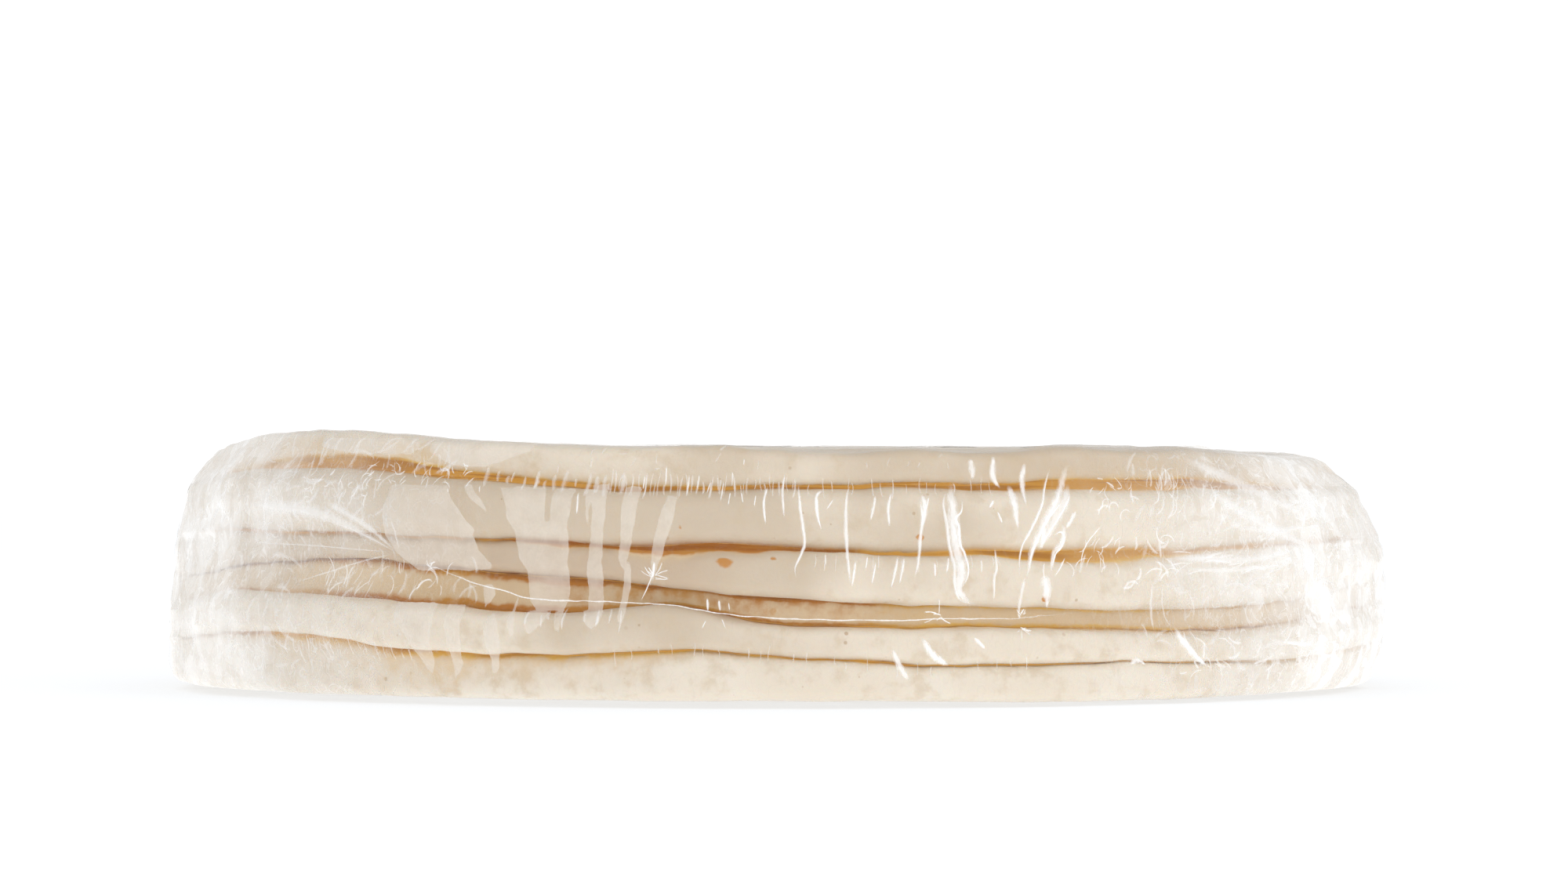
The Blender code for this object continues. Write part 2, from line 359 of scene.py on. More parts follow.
# the same painted glow, in the browner gaps
PAINTED_BROWN_GAP_GLOW = (0.125, 0.052, 0.006)
NO_GLOW = (0.0, 0.0, 0.0)
BROAD_PATCHES = 30.0
FINE_PATCHES = 5.0
SPECK_SPACING = 3.1
SPECK_REACH = 0.19  # the largest speck's half width, as a share of their spacing
GRAIN = 0.9
DOUGH_RELIEF = 0.35
LIGHT_DEPTH = 2.5  # how far light goes into the dough


def dough_finish():
    """Matte, floury dough: mottled cream, bran specks and toasted bubbles, with painted light and
    shade: lit and shaded tones, and painted shade and a painted glow in its amber gaps.
    """
    finish, tree, shader, where = new_finish("dough")
    broad = mottle(where, BROAD_PATCHES)
    fine = mottle(where, FINE_PATCHES, detail=4.0, roughness=0.6)
    # Paleness, partly the crust's own bake and partly painted light and shade.
    pale = plus(broad, read(tree, "pale"))
    colour = tint(ramp(pale, 0.3, 0.7), CREAM, PALE_CREAM)
    colour = tint(ramp(pale, 0.75, 1.15), colour, PAINTED_LIGHT_CREAM)
    colour = tint(ramp(pale, 0.3, -0.1), colour, SHADED_CREAM)
    colour = tint(ramp(fine, 0.48, 0.72, to_high=0.5), colour, WARM_CREAM)

    inputs = {"Vector": where, "Scale": 1.0 / (SPECK_SPACING * MM)}
    specks = node(tree, "ShaderNodeTexVoronoi", inputs)
    size = node(tree, "ShaderNodeSeparateColor", {"Color": specks.outputs["Color"]})
    reach = ramp(size.outputs["Red"], 0.62, 1.0, 0.0, SPECK_REACH, smooth=False)
    inside = minus(reach, specks.outputs["Distance"])
    speck = ramp(inside, 0.0, 0.06)
    strength = evenly(size.outputs["Green"], 0.1, 0.65)
    colour = tint(times(speck, strength), colour, BRAN)

    edge = plus(read(tree, "toasted"), ramp(fine, 0.3, 0.7, -0.25, 0.25))
    colour = tint(ramp(edge, -0.2, 0.3), colour, TOAST)

    # Painted shade in the gaps and on the set-back crust, darker the further in a point lies.
    uneven = ramp(fine, 0.3, 0.7, 0.7, 1.35)
    depth = times(read(tree, "depth"), uneven)
    buried = times(read(tree, "buried"), uneven)
    colour = tint(ramp(depth, 0.4, 5.0, to_high=0.65), colour, AMBER_SHADE)
    shade = ramp(read(tree, "shade"), 0.8, 1.8)
    brown = plus(ramp(broad, 0.42, 0.6, -0.2, 0.5), shade, clamp=True)
    deep_colour = tint(brown, GAP_SHADE_AMBER, GAP_SHADE_BROWN)
    colour = tint(ramp(buried, 2.2, 6.0), colour, deep_colour)

    # A painted glow in the dough's shade and in the gaps.
    glow = tint(ramp(depth, 1.5, 6.0), NO_GLOW, PAINTED_SHADE_GLOW)
    deep_glow = tint(brown, PAINTED_GAP_GLOW, PAINTED_BROWN_GAP_GLOW)
    glow = tint(ramp(buried, 2.4, 5.8), glow, deep_glow)

    grain = mottle(where, GRAIN, detail=3.0)
    height = plus(times(grain, 0.35), fine)
    inputs = {"Height": height, "Strength": 0.5, "Distance": DOUGH_RELIEF * MM}
    bump = node(tree, "ShaderNodeBump", inputs)
    give(shader, {
        "Base Color": colour,
        "Emission Color": glow,
        "Emission Strength": 1.0,
        "Normal": bump.outputs["Normal"],
        "Roughness": ramp(fine, 0.3, 0.7, 0.55, 0.8),
        "Specular IOR Level": 0.3,
        "Subsurface Weight": 0.25,
        "Subsurface Radius": (1.0, 0.62, 0.34),
        "Subsurface Scale": LIGHT_DEPTH * MM,
    })
    return finish


def grown(values, start, end):
    """0 up to a start, 1 from an end on, and evenly between them."""
    return np.clip((values - start) / (end - start), 0.0, 1.0)


def fine_section(rings, heights, number):
    """A crust's rings, from the middle of its top round its lip to the middle of its base."""
    rings = finer(rings)
    top_middle, under_middle = np.zeros_like(rings[0]), np.zeros_like(rings[0])
    top_middle[:, 1], under_middle[:, 1] = heights
    shoulder, furthest, under = (rings[row] for row in LIP_RINGS)
    lip = furthest[:, 0] - shoulder[:, 0]
    middle, half = (shoulder[:, 1] + under[:, 1]) / 2.0, (shoulder[:, 1] - under[:, 1]) / 2.0

    rows = []
    stops = (top_middle, rings[0], rings[1], shoulder)
    for start, end, steps in zip(stops, stops[1:], FACE_STEPS):
        rows += span(start, end, steps)
    lip_start = len(rows)
    for turn in np.linspace(math.pi / 2, -math.pi / 2, LIP_STEPS + 1):
        out = max(math.cos(turn), 0.0) ** LIP_ROUNDNESS
        up = math.copysign(abs(math.sin(turn)) ** LIP_ROUNDNESS, turn)
        rows.append(np.stack([shoulder[:, 0] + lip * out, middle + half * up], axis=-1))
    stops = (under, *rings[LIP_RINGS[-1] + 1 :], under_middle)
    for start, end in zip(stops, stops[1:]):
        rows += span(start, end, UNDER_STEPS)[1:] + ([] if end is under_middle else [end])
    section = np.array(rows)[1:]

    lip_share = np.zeros(len(section))
    turns = np.linspace(0.0, math.pi, LIP_STEPS + 1)
    lip_share[lip_start - 1 : lip_start + LIP_STEPS] = np.sin(turns) ** LUMP_FADE
    points = in_space(section, directions)
    relief = lumps(points, RIM_LUMPS, seed=100 * number) * lip_share[:, None]
    if number == len(CRUSTS) - 1:
        face_share = 1.0 - lip_share
        face_share[lip_start:] = 0.0
        relief += lumps(points, FACE_LUMPS, seed=71) * face_share[:, None]
    section += outward(section) * relief[..., None]
    risen = grown(section[..., 1], 0.0, SEAM_RISE) * grown(section[..., 0], *SEAM_RADII)
    section[..., 1] += lumps(points * SEAM_STRETCH, SEAM_WAVES, seed=900) * risen
    section[..., 1] = np.maximum(section[..., 1], FLOOR_GAP)
    facing = np.full(len(section), -1.0)
    facing[:lip_start] = 1.0
    facing[lip_start - 1 : lip_start + LIP_STEPS] = np.cos(turns)
    return section, facing


def round_pack(places, values, behind, back=BACK):
    """A value for each column, from its values at directions in front and one for the back."""
    return np.interp(from_front, (-back, *places, back), (behind, *values, behind))


def gap_shares(number):
    """How dark and how brown the painted shade of the gaps over and under a crust is, all round."""
    places = (GAP_DIRECTIONS[0], *BROWN_FADES, GAP_DIRECTIONS[-1])
    fading = round_pack(places, (1.0, 1.0, 0.0, 0.0), BROWN_BEHIND)
    shares, browns = [], []
    for gap, lip in ((number, 1), (number - 1, 0)):
        open_side = not 0 <= gap < len(GAP_SHARES)
        row = np.ones(len(GAP_DIRECTIONS)) if open_side else GAP_SHARES[gap][lip]
        share = round_pack(GAP_DIRECTIONS, row, GAP_BEHIND)
        size, amount = GAP_WAVER
        rim = np.stack([np.full(COLUMNS, REACH), np.full(COLUMNS, 10.0 * gap)], axis=-1)
        share *= 1.0 + amount * noise(in_space(rim, directions), size, seed=60)
        shares.append(share)
        browns.append(share * (0.0 if open_side else BROWN_SHARES[gap]) * fading)
    return shares, browns


def depth_in_stack(section, facing, above, below, shares, browns):
    """How far in each point is behind the rim of the crust that it faces, weighted by how dark its
    painted shade shows, and how brown that shade is.
    """
    none = np.zeros(section.shape[:-1])
    depths = [none if reach is None else reach - section[..., 0] for reach in (above, below)]
    depths = [
        (depth + GAP_SPREAD * np.maximum(share - 1.0, 0.0))
        * (share + (1.0 - share) * grown(depth, *DEEP_FROM))
        for depth, share in zip(depths, shares)
    ]
    up = ((facing + 1.0) / 2.0)[:, None]
    depth, shade = (over * up + under * (1.0 - up) for over, under in (depths, browns))
    return np.maximum(depth, 0.0), shade


def arc(across):
    """The distance round the rims from the front's middle to a place across it."""
    return REACH * math.asin(across / REACH)


def toasted_depth(section):
    """Over 0 inside a toasted bubble, and 1 at its middle."""
    best = np.full(section.shape[:-1], -1.0)
    for across, up, half_width, half_height in TOASTED:
        aside = (front_arc - arc(across)) / half_width
        best = np.maximum(best, 1.0 - np.hypot(aside, (section[..., 1] - up) / half_height))
    return best


directions = np.arange(COLUMNS) * 360.0 / COLUMNS
from_front = (directions + 180.0) % 360.0 - 180.0
front_arc = REACH * np.radians(from_front)
cad_crusts = [read_rings(name) for name in CRUSTS]
axis = cad_crusts[0][2]
reaches = [finer(rings)[LIP_RINGS[1], :, 0] for rings, _, _ in cad_crusts]
neighbours = [None, *reaches, None]
dough = dough_finish()
crust_points, crust_faces = [], []
for number, (name, (rings, heights, _)) in enumerate(zip(CRUSTS, cad_crusts)):
    section, facing = fine_section(rings, heights, number)
    around = neighbours[number + 2], neighbours[number]
    # Painted shade: how deep each point lies in a gap, and on the set-back crust's face as well.
    depth, shade = depth_in_stack(section, facing, *around, *gap_shares(number))
    buried = depth * np.abs(facing)[:, None]
    if number == SET_BACK:
        shaded = round_pack(GAP_DIRECTIONS, FACE_SHADES, FACE_SHADE_BEHIND)
        usual, more = FACE_SHADE_UP
        buried = np.maximum(buried, depth * (usual + more * facing[:, None]) * shaded)
        shade = shade + SHADE_BROWN
    toasted = toasted_depth(section)
    rows = len(section)
    points = in_space(section, directions).reshape(-1, 3)
    top = (*axis, section[0, :, 1].mean())
    bottom = (*axis, section[-1, :, 1].mean())
    points = np.vstack([points, top, bottom])
    sheet = sheet_faces(rows, COLUMNS)
    faces = [
        sheet,
        fan_faces(0, rows * COLUMNS, True),
        fan_faces((rows - 1) * COLUMNS, rows * COLUMNS + 1, False),
    ]
    # Paleness near the rims: partly each crust's own bake, partly painted light and shade.
    pale = round_pack(PALE_DIRECTIONS, PALENESS_AND_LIGHT[number], USUAL_PALENESS, PALE_BACK) - USUAL_PALENESS
    pale = USUAL_PALENESS + pale * grown(section[..., 0], *PALE_RADII)
    shown = {"depth": depth, "buried": buried, "shade": shade, "toasted": toasted, "pale": pale}
    for kind, values in shown.items():
        shown[kind] = np.append(values, (values[0].mean(), values[-1].mean()))
    slot = "shaded_dough" if name == "crust_3" else "dough"
    make_piece(name + "_dough", points, faces, dough, slot, [name], **shown)
    crust_faces.append(sheet + sum(len(part) for part in crust_points))
    crust_points.append(points)

# ---------------------------------------------------------------------------------------------
# The film's skin: one clear stretch film, a few hundredths of a millimetre thick, pulled tight
# round the stack. It lies on the top, touches each rim, is drawn in a little between rims, and
# closes under the base. Where air is left under it, it looks milky.
FILM_ROWS = 232
FILM_START = 100.0  # the radius on the top face where the side skin begins
FOOT_RADIUS = 112.0  # the radius under the base where it ends
CLEARANCE = 0.2
FOOT_CLEARANCE = 0.06
RAY_START = 8.0
DEEPEST = 12.0
DRAW_IN = 0.085  # the film's curve between rims, per millimetre, where it is loosest
COARSE_STEPS = ((4, 320), (2, 140), (1, 70))  # (coarseness, rounds) of settling
SECTORS = 4  # the side skin's pieces

# The film by direction: bare and close over the front, gathered in many layers at the ends.
FILM_DIRECTIONS = (-180, -140, -105, -76, -61, -55, -48, -40, -33, -25,
                   25, 33, 40, 46, 52, 58, 64, 100, 140, 180)
# How much its gathered layers hide the dough, at heights.
LAYER_HEIGHTS = (12.0, 30.0, 45.0, 57.0)
LAYER_SHARES = (
    (0.10, 0.18, 0.50, 0.76, 0.78, 0.58, 0.36, 0.14, 0.0, 0.0,
     0.0, 0.10, 0.15, 0.26, 0.42, 0.60, 0.76, 0.52, 0.18, 0.10),
    (0.10, 0.18, 0.50, 0.78, 0.80, 0.62, 0.38, 0.10, 0.0, 0.0,
     0.0, 0.12, 0.26, 0.40, 0.58, 0.76, 0.88, 0.52, 0.18, 0.10),
    (0.10, 0.18, 0.50, 0.80, 0.86, 0.78, 0.52, 0.18, 0.04, 0.0,
     0.0, 0.18, 0.30, 0.40, 0.54, 0.72, 0.86, 0.52, 0.18, 0.10),
    (0.10, 0.18, 0.50, 0.76, 0.78, 0.64, 0.34, 0.04, 0.0, 0.0,
     0.0, 0.08, 0.14, 0.22, 0.34, 0.54, 0.76, 0.52, 0.18, 0.10),
)
LAYER_PATCHES = ((19.0, 0.20), (7.0, 0.14))  # (size, share) of thinner and thicker places
CRUMPLE_SHARES = (0.25, 0.35, 0.80, 0.70, 0.70, 0.65, 0.60, 0.55, 0.35, 0.10,
                  0.10, 0.30, 0.60, 0.80, 0.90, 1.00, 1.00, 0.80, 0.35, 0.25)
LOOSE_SHARES = (0.80, 0.60, 0.30, 0.15, 0.15, 0.20, 0.35, 0.60, 0.85, 1.00,
                1.00, 0.80, 0.50, 0.30, 0.15, 0.10, 0.10, 0.30, 0.60, 0.80)


def by_direction(shares):
    """A share for each column, from its values at the film's directions."""
    return np.interp(from_front, FILM_DIRECTIONS, shares)


def by_height(rows, ups):
    """A share for each point, from rows of its values at the layers' heights."""
    place = np.interp(ups, LAYER_HEIGHTS, np.arange(len(LAYER_HEIGHTS)))
    low = np.minimum(place.astype(int), len(LAYER_HEIGHTS) - 2)
    rows = np.array([by_direction(row) for row in rows])
    below, above = (np.take_along_axis(rows, low + step, axis=0) for step in (0, 1))
    return below + (above - below) * (place - low)


def taut_outline(points):
    """The line of a band pulled tight round a section's points, from the top to the foot."""
    line = []
    for radius, height in sorted(points, key=lambda point: (-point[1], point[0])):
        while len(line) > 1:
            (r1, h1), (r2, h2) = line[-2:]
            if (r2 - r1) * (height - h2) - (h2 - h1) * (radius - r2) < 0.0:
                break
            line.pop()
        line.append((radius, height))
    line = np.array(line)
    travelled = np.append(0.0, np.cumsum(np.linalg.norm(np.diff(line, axis=0), axis=1)))
    stops = np.linspace(0.0, travelled[-1], FILM_ROWS)
    return np.stack([np.interp(stops, travelled, line[:, part]) for part in (0, 1)], axis=-1)


def smoothed(values, rounds, across=True):
    """Values evened out with their neighbours along the rows, and round the pack."""
    for _ in range(rounds):
        inner = (values[2:] + values[:-2] + 2.0 * values[1:-1]) / 4.0
        values = np.concatenate([values[:1], inner, values[-1:]])
        if across:
            values = (np.roll(values, 1, 1) + np.roll(values, -1, 1) + 2.0 * values) / 4.0
    return values


def settle(limit, inward, drawn, rounds):
    """The film's way in: each point goes to its neighbours' mean, drawn in, up to the dough."""
    inward = np.minimum(inward, limit)
    for _ in range(rounds):
        mean = (np.roll(inward, 1, 1) + np.roll(inward, -1, 1)) / 4.0
        mean[1:-1] += (inward[2:] + inward[:-2]) / 4.0 + drawn
        inward = np.minimum(mean, limit)
        inward[[0, -1]] = limit[[0, -1]]
    return inward


stack = np.concatenate([rings for rings, _, _ in cad_crusts])
taut = []
for column in range(stack.shape[1]):
    nearby = stack[:, [column - 1, column, (column + 1) % stack.shape[1]]].reshape(-1, 2)
    nearby = nearby[nearby[:, 0] >= FOOT_RADIUS - 0.5]
    corners = [(FILM_START, nearby[:, 1].max()), (FOOT_RADIUS, 0.0)]
    taut.append(taut_outline([*map(tuple, nearby), *corners]))
taut = smoothed(finer(np.stack(taut, axis=1)), 4)
taut_normals = outward(taut)

tree = BVHTree.FromPolygons(
    np.concatenate(crust_points).tolist(), np.concatenate(crust_faces).tolist()
)
starts = in_space(taut + RAY_START * taut_normals, directions).reshape(-1, 3)
ends = in_space(taut, directions).reshape(-1, 3)
rays = (ends - starts) / RAY_START
limit = np.full(len(starts), DEEPEST)
for place, (start, ray) in enumerate(zip(starts.tolist(), rays.tolist())):
    distance = tree.ray_cast(start, ray, RAY_START + DEEPEST)[3]
    if distance is not None:
        limit[place] = distance - RAY_START
limit = limit.reshape(FILM_ROWS, COLUMNS) - CLEARANCE
limit[-1] += CLEARANCE - FOOT_CLEARANCE

inward = np.zeros((FILM_ROWS // COARSE_STEPS[0][0], COLUMNS // COARSE_STEPS[0][0]))
cell = REACH * math.tau / COLUMNS
for coarse, rounds in COARSE_STEPS:
    rows, columns = FILM_ROWS // coarse, COLUMNS // coarse
    inward = np.repeat(inward, rows // len(inward), axis=0)
    inward = np.repeat(inward, columns // inward.shape[1], axis=1)
    blocks = limit.reshape(rows, coarse, columns, coarse).min(axis=(1, 3))
    drawn = DRAW_IN * by_direction(LOOSE_SHARES)[::coarse] * (cell * coarse) ** 2 / 4.0
    inward = settle(blocks, inward, drawn, rounds)

skin = taut - taut_normals * inward[..., None]
skin[..., 1] = np.maximum(skin[..., 1], FOOT_CLEARANCE)
air = limit - inward

# Air pockets that show as milky patches: at heights (up), the places across of their two edges.
POCKETS = (
    ((50.4, -89.0, -75.5), (47.5, -90.0, -74.5), (44.5, -91.0, -72.5), (40.3, -91.0, -69.3),
     (39.0, -91.0, -70.0), (35.5, -90.0, -68.6), (32.5, -86.0, -65.6), (31.0, -84.0, -65.8)),
    ((50.3, -71.9, -70.3), (47.5, -70.1, -67.8), (44.2, -66.0, -65.7)),
    ((49.9, -63.6, -52.9), (48.4, -62.6, -52.7), (45.5, -61.6, -52.9), (43.0, -61.5, -52.8),
     (41.0, -60.6, -51.6), (40.2, -60.1, -47.4), (37.5, -59.5, -47.4), (34.0, -58.6, -47.4),
     (31.0, -57.0, -47.4), (29.6, -57.4, -47.4), (25.6, -56.9, -47.4), (24.3, -56.6, -47.4),
     (22.0, -54.0, -48.6)),
    ((49.6, -50.8, -45.9), (45.2, -51.2, -46.7), (42.5, -51.6, -47.4), (40.0, -53.0, -47.4)),
    ((49.4, -43.3, -41.9), (44.0, -43.4, -42.4), (42.0, -43.0, -42.8)),
    ((50.4, -41.0, -38.6), (45.0, -41.5, -38.8), (39.5, -42.1, -39.2), (35.0, -42.7, -39.4),
     (30.5, -43.0, -39.4), (24.0, -42.9, -39.2), (21.5, -42.4, -39.6)),
    ((50.0, -34.5, -31.0), (45.0, -34.9, -31.6), (40.8, -35.2, -32.4), (34.2, -35.7, -33.3),
     (31.6, -35.0, -34.2)),
    ((48.0, -24.6, -22.2), (45.0, -25.8, -22.9), (40.8, -27.2, -23.8), (38.0, -27.8, -25.0),
     (35.1, -28.1, -25.7), (31.3, -28.2, -26.9), (28.0, -28.6, -28.3)),
    ((33.0, -34.0, -32.8), (27.0, -34.8, -33.2), (22.0, -35.3, -33.9), (19.0, -35.2, -34.8)),
    ((23.4, -86.6, -77.2), (19.5, -86.2, -77.4), (16.2, -83.7, -77.9), (11.9, -81.9, -78.2),
     (7.2, -80.3, -79.6)),
    ((23.2, -74.8, -70.8), (19.1, -74.6, -71.0), (16.1, -74.4, -71.1), (12.6, -74.1, -71.4),
     (10.2, -74.0, -71.8), (7.7, -74.2, -73.1), (5.8, -74.2, -74.1)),
    ((21.9, -64.2, -64.0), (20.1, -65.1, -63.1), (18.1, -65.8, -62.5), (15.1, -65.5, -62.1),
     (13.1, -65.2, -62.2), (10.7, -64.8, -63.3), (8.7, -65.1, -63.8), (6.3, -65.3, -65.1)),
    ((25.6, -59.6, -59.4), (22.1, -60.0, -59.2), (20.1, -60.6, -58.9), (18.1, -60.1, -58.9),
     (15.5, -59.4, -59.2)),
    ((27.6, -68.1, -65.6), (25.6, -67.6, -65.0), (23.9, -67.0, -65.6), (22.6, -66.6, -66.2)),
    ((21.9, -55.9, -51.2), (19.6, -56.4, -52.2), (17.6, -56.1, -54.1), (16.8, -55.6, -55.0)),
    ((21.6, -50.2, -48.2), (19.1, -49.9, -48.2), (17.0, -49.1, -48.9)),
    ((22.1, -43.7, -39.2), (19.6, -43.0, -39.7), (18.0, -41.4, -40.9)),
    ((61.0, -110.0, -86.0), (59.0, -110.0, -85.0), (57.4, -102.0, -87.0)),
    ((60.5, -82.0, -56.0), (58.0, -83.0, -58.0), (56.0, -79.0, -64.0), (54.6, -76.0, -68.0)),
)
POCKET_ENDS = 0.6  # how far in a pocket has its full lift
LIFT_OVER_POCKET = 0.35
NO_POCKET = -9.0
PATCH_DEPTH = 6.0
PATCH_GAPS = 1.4  # more leaves fewer and smaller patches
HIDDEN_FROM = (210.0, 250.0)  # distances from the front, past which the photo shows no film
MOST_LAYERS = 0.96
TOP_LAYERS = 0.15  # the share of a gathering that is left on the top
PATCH_STRETCH = (1.0, 1.0, 0.4)  # patches of film are longer up and down than round the pack
WRINKLES = ((11.0, 0.8), (4.5, 0.25))  # (size, height)
WRINKLE_STRETCH = (1.0, 1.0, 0.45)
FREE_FROM = 1.2  # the film wrinkles fully with this much air under it
SMOOTH_SHARE = 0.35  # how much it wrinkles where it isn't crumpled
BASE_RINGS = (1.0, 0.75, 0.5, 0.25)  # the base's rings, as shares of the foot's radius
TOP_SHARES = {"layers": 0.05, "crumpled": 0.35}  # on the top and the base


def inside_pocket(stations, arcs, ups):
    """How far inside a pocket's edges each point is, in millimetres."""
    heights, *edges = np.array(sorted(stations)).T
    left, right = (np.interp(ups, heights, [arc(across) for across in edge]) for edge in edges)
    ends = np.minimum(ups - heights[0], heights[-1] - ups)
    return np.minimum(np.minimum(arcs - left, right - arcs), ends)


def vectors(operation, *values):
    """One sum of vectors."""
    return fed("ShaderNodeVectorMath", *values, operation=operation)


def scaled(vector, scale):
    """A vector times a number."""
    inputs = {"Vector": vector, "Scale": scale}
    return node(vector.id_data, "ShaderNodeVectorMath", inputs, operation="SCALE").outputs[0]


def crinkle_group():
    """Thin, bright, curling lines, like the creases of crushed film, drawn as painted highlights.
    """
    tree = bpy.data.node_groups.new("crinkle_lines", "ShaderNodeTree")
    for name, low in (("Size", 3.0), ("Thickness", 0.03)):
        socket = tree.interface.new_socket(name, in_out="INPUT", socket_type="NodeSocketFloat")
        socket.default_value = low
    tree.interface.new_socket("Vector", in_out="INPUT", socket_type="NodeSocketVector")
    tree.interface.new_socket("Lines", in_out="OUTPUT", socket_type="NodeSocketFloat")
    given = node(tree, "NodeGroupInput").outputs
    scale = maths("DIVIDE", 1.0 / MM, given["Size"])
    stretched = vectors("MULTIPLY", given["Vector"], (1.0, 1.0, 0.5))
    inputs = {"Vector": stretched, "Scale": scale, "Detail": 1.5, "Distortion": 1.2}
    field = node(tree, "ShaderNodeTexNoise", inputs).outputs["Fac"]
    off = maths("ABSOLUTE", minus(field, 0.5))
    node(tree, "NodeGroupOutput", {"Lines": ramp(off, 0.0, given["Thickness"], 1.0, 0.0)})
    return tree


def crinkles(where, size, thickness):
    """The crease lines of one size, from 0 to 1."""
    inputs = {"Vector": where, "Size": size, "Thickness": thickness}
    return node(where.id_data, "ShaderNodeGroup", inputs, node_tree=crinkle_lines).outputs["Lines"]


MILKY = (0.95, 0.87, 0.77)
GATHERED = (0.83, 0.80, 0.76)
# The creased tone is a painted highlight on the brighter facets and crease lines.
CREASE_HIGHLIGHT = (0.93, 0.92, 0.905)
PAINTED_GATHERED_GLOW = (0.20, 0.19, 0.175)  # painted light: a glow standing in for light that soaks through many layers
# a brighter painted glow on those highlit facets and crease lines
PAINTED_CREASED_GLOW = (0.25, 0.245, 0.236)
CLEAR_ALPHA = 0.03  # where the film lies close, in one layer
SHEET_SIZE = 14.0
RIPPLE_SIZE = 3.5
FACETS = (8.0, 3.4)
FACET_CHANGE = 0.13
CRINKLES = ((4.5, 0.028, 0.5), (2.1, 0.03, 0.3))  # (size, thickness, strength)


def facets(where, size):
    """Random flat patches with crisp, uneven edges, like overlapping film, from -1 to 1."""
    tree = where.id_data
    inputs = {"Vector": where, "Scale": 0.4 / (size * MM), "Detail": 2.0}
    bend = node(tree, "ShaderNodeTexNoise", inputs).outputs["Color"]
    bend = scaled(bend, 1.6 * size * MM)
    inputs = {"Vector": vectors("ADD", where, bend), "Scale": 1.0 / (size * MM)}
    cells = node(tree, "ShaderNodeTexVoronoi", inputs).outputs["Color"]
    own = node(tree, "ShaderNodeSeparateColor", {"Color": cells}).outputs["Red"]
    return evenly(own, -1.0, 1.0)


def film_finish():
    """Clear, glossy film: milky with a sharp outline over air, whiter where it is gathered, with
    painted highlights, a painted reflection where it is seen edge-on, and a painted glow.
    """
    finish, tree, shader, where = new_finish("stretch_film")
    patches = mottle(where, 4.0, detail=3.0)
    wander = ramp(patches, 0.3, 0.7, -0.28, 0.28, smooth=False)
    pocket = plus(read(tree, "pocket"), wander)
    milk = times(ramp(pocket, -0.1, 0.1), ramp(patches, 0.3, 0.7, 0.38, 0.5))
    # A painted highlight along each pocket's outline.
    rim = times(ramp(maths("ABSOLUTE", pocket), 0.0, 0.2, 1.0, 0.0), 0.08)

    layers = read(tree, "layers")
    sheets = mottle(where, SHEET_SIZE)
    stepped = plus(ramp(sheets, 0.47, 0.5), ramp(sheets, 0.56, 0.58))
    uneven = ramp(stepped, 0.0, 2.0, 0.84, 1.1, smooth=False)
    crumpled = read(tree, "crumpled")
    flat_patches = plus(*(facets(where, size) for size in FACETS))
    flat_patches = times(times(flat_patches, crumpled), FACET_CHANGE)
    layered = times(layers, plus(uneven, flat_patches), clamp=True)

    lines = (times(crinkles(where, *sizes), strength) for *sizes, strength in CRINKLES)
    lines = times(maths("MAXIMUM", *lines), crumpled)

    # Painted reflection: the film is whiter where it is seen edge-on, as its gloss would show.
    facing = node(tree, "ShaderNodeLayerWeight", {"Blend": 0.5}).outputs["Facing"]
    edge = times(maths("POWER", facing, 4.0), 0.5)
    alpha = plus(plus(milk, rim), CLEAR_ALPHA)
    for more in (layered, lines, edge):
        alpha = times(minus(1.0, alpha), minus(1.0, more, clamp=True))
        alpha = minus(1.0, alpha, clamp=True)
    thick = plus(layers, lines, clamp=True)
    # Painted highlights: some facets and the crease lines are brighter, and gathered film glows.
    highlit_patches = ramp(flat_patches, -0.12, 0.24, smooth=False)
    bright = plus(highlit_patches, times(lines, 2.0), clamp=True)
    glow = tint(bright, PAINTED_GATHERED_GLOW, PAINTED_CREASED_GLOW)
    ripples = plus(mottle(where, RIPPLE_SIZE), times(lines, 1.5))
    bump = node(tree, "ShaderNodeBump", {"Height": ripples, "Strength": 0.35, "Distance": 0.5 * MM})
    give(shader, {
        "Alpha": alpha,
        "Base Color": tint(ramp(thick, 0.0, 0.5), MILKY, tint(bright, GATHERED, CREASE_HIGHLIGHT)),
        "Emission Color": tint(ramp(layers, 0.1, 0.8), NO_GLOW, glow),
        "Emission Strength": 1.0,
        "Normal": bump.outputs["Normal"],
        "Roughness": 0.2,
    })
    return finish


def unseen_by_light(piece):
    """Thin film lets the light through to the dough, and doesn't shade it."""
    piece.visible_diffuse = False
    piece.visible_shadow = False


# Along the skin, up goes on over the top's edge and under the base's, so that bands end there.
TOP_EDGE = (136.0, 40.0)  # radius, and the height that the edge is over
BASE_EDGE = (139.0, 8.0)  # and under
EDGE_HEIGHT = 62.0


def milky_patches(points, broad, fine):
    """Over 0 inside random patches of two sizes."""
    depth = noise(points, broad, seed=5) + 0.5 * noise(points, fine, seed=6)
    return PATCH_DEPTH * depth - PATCH_GAPS


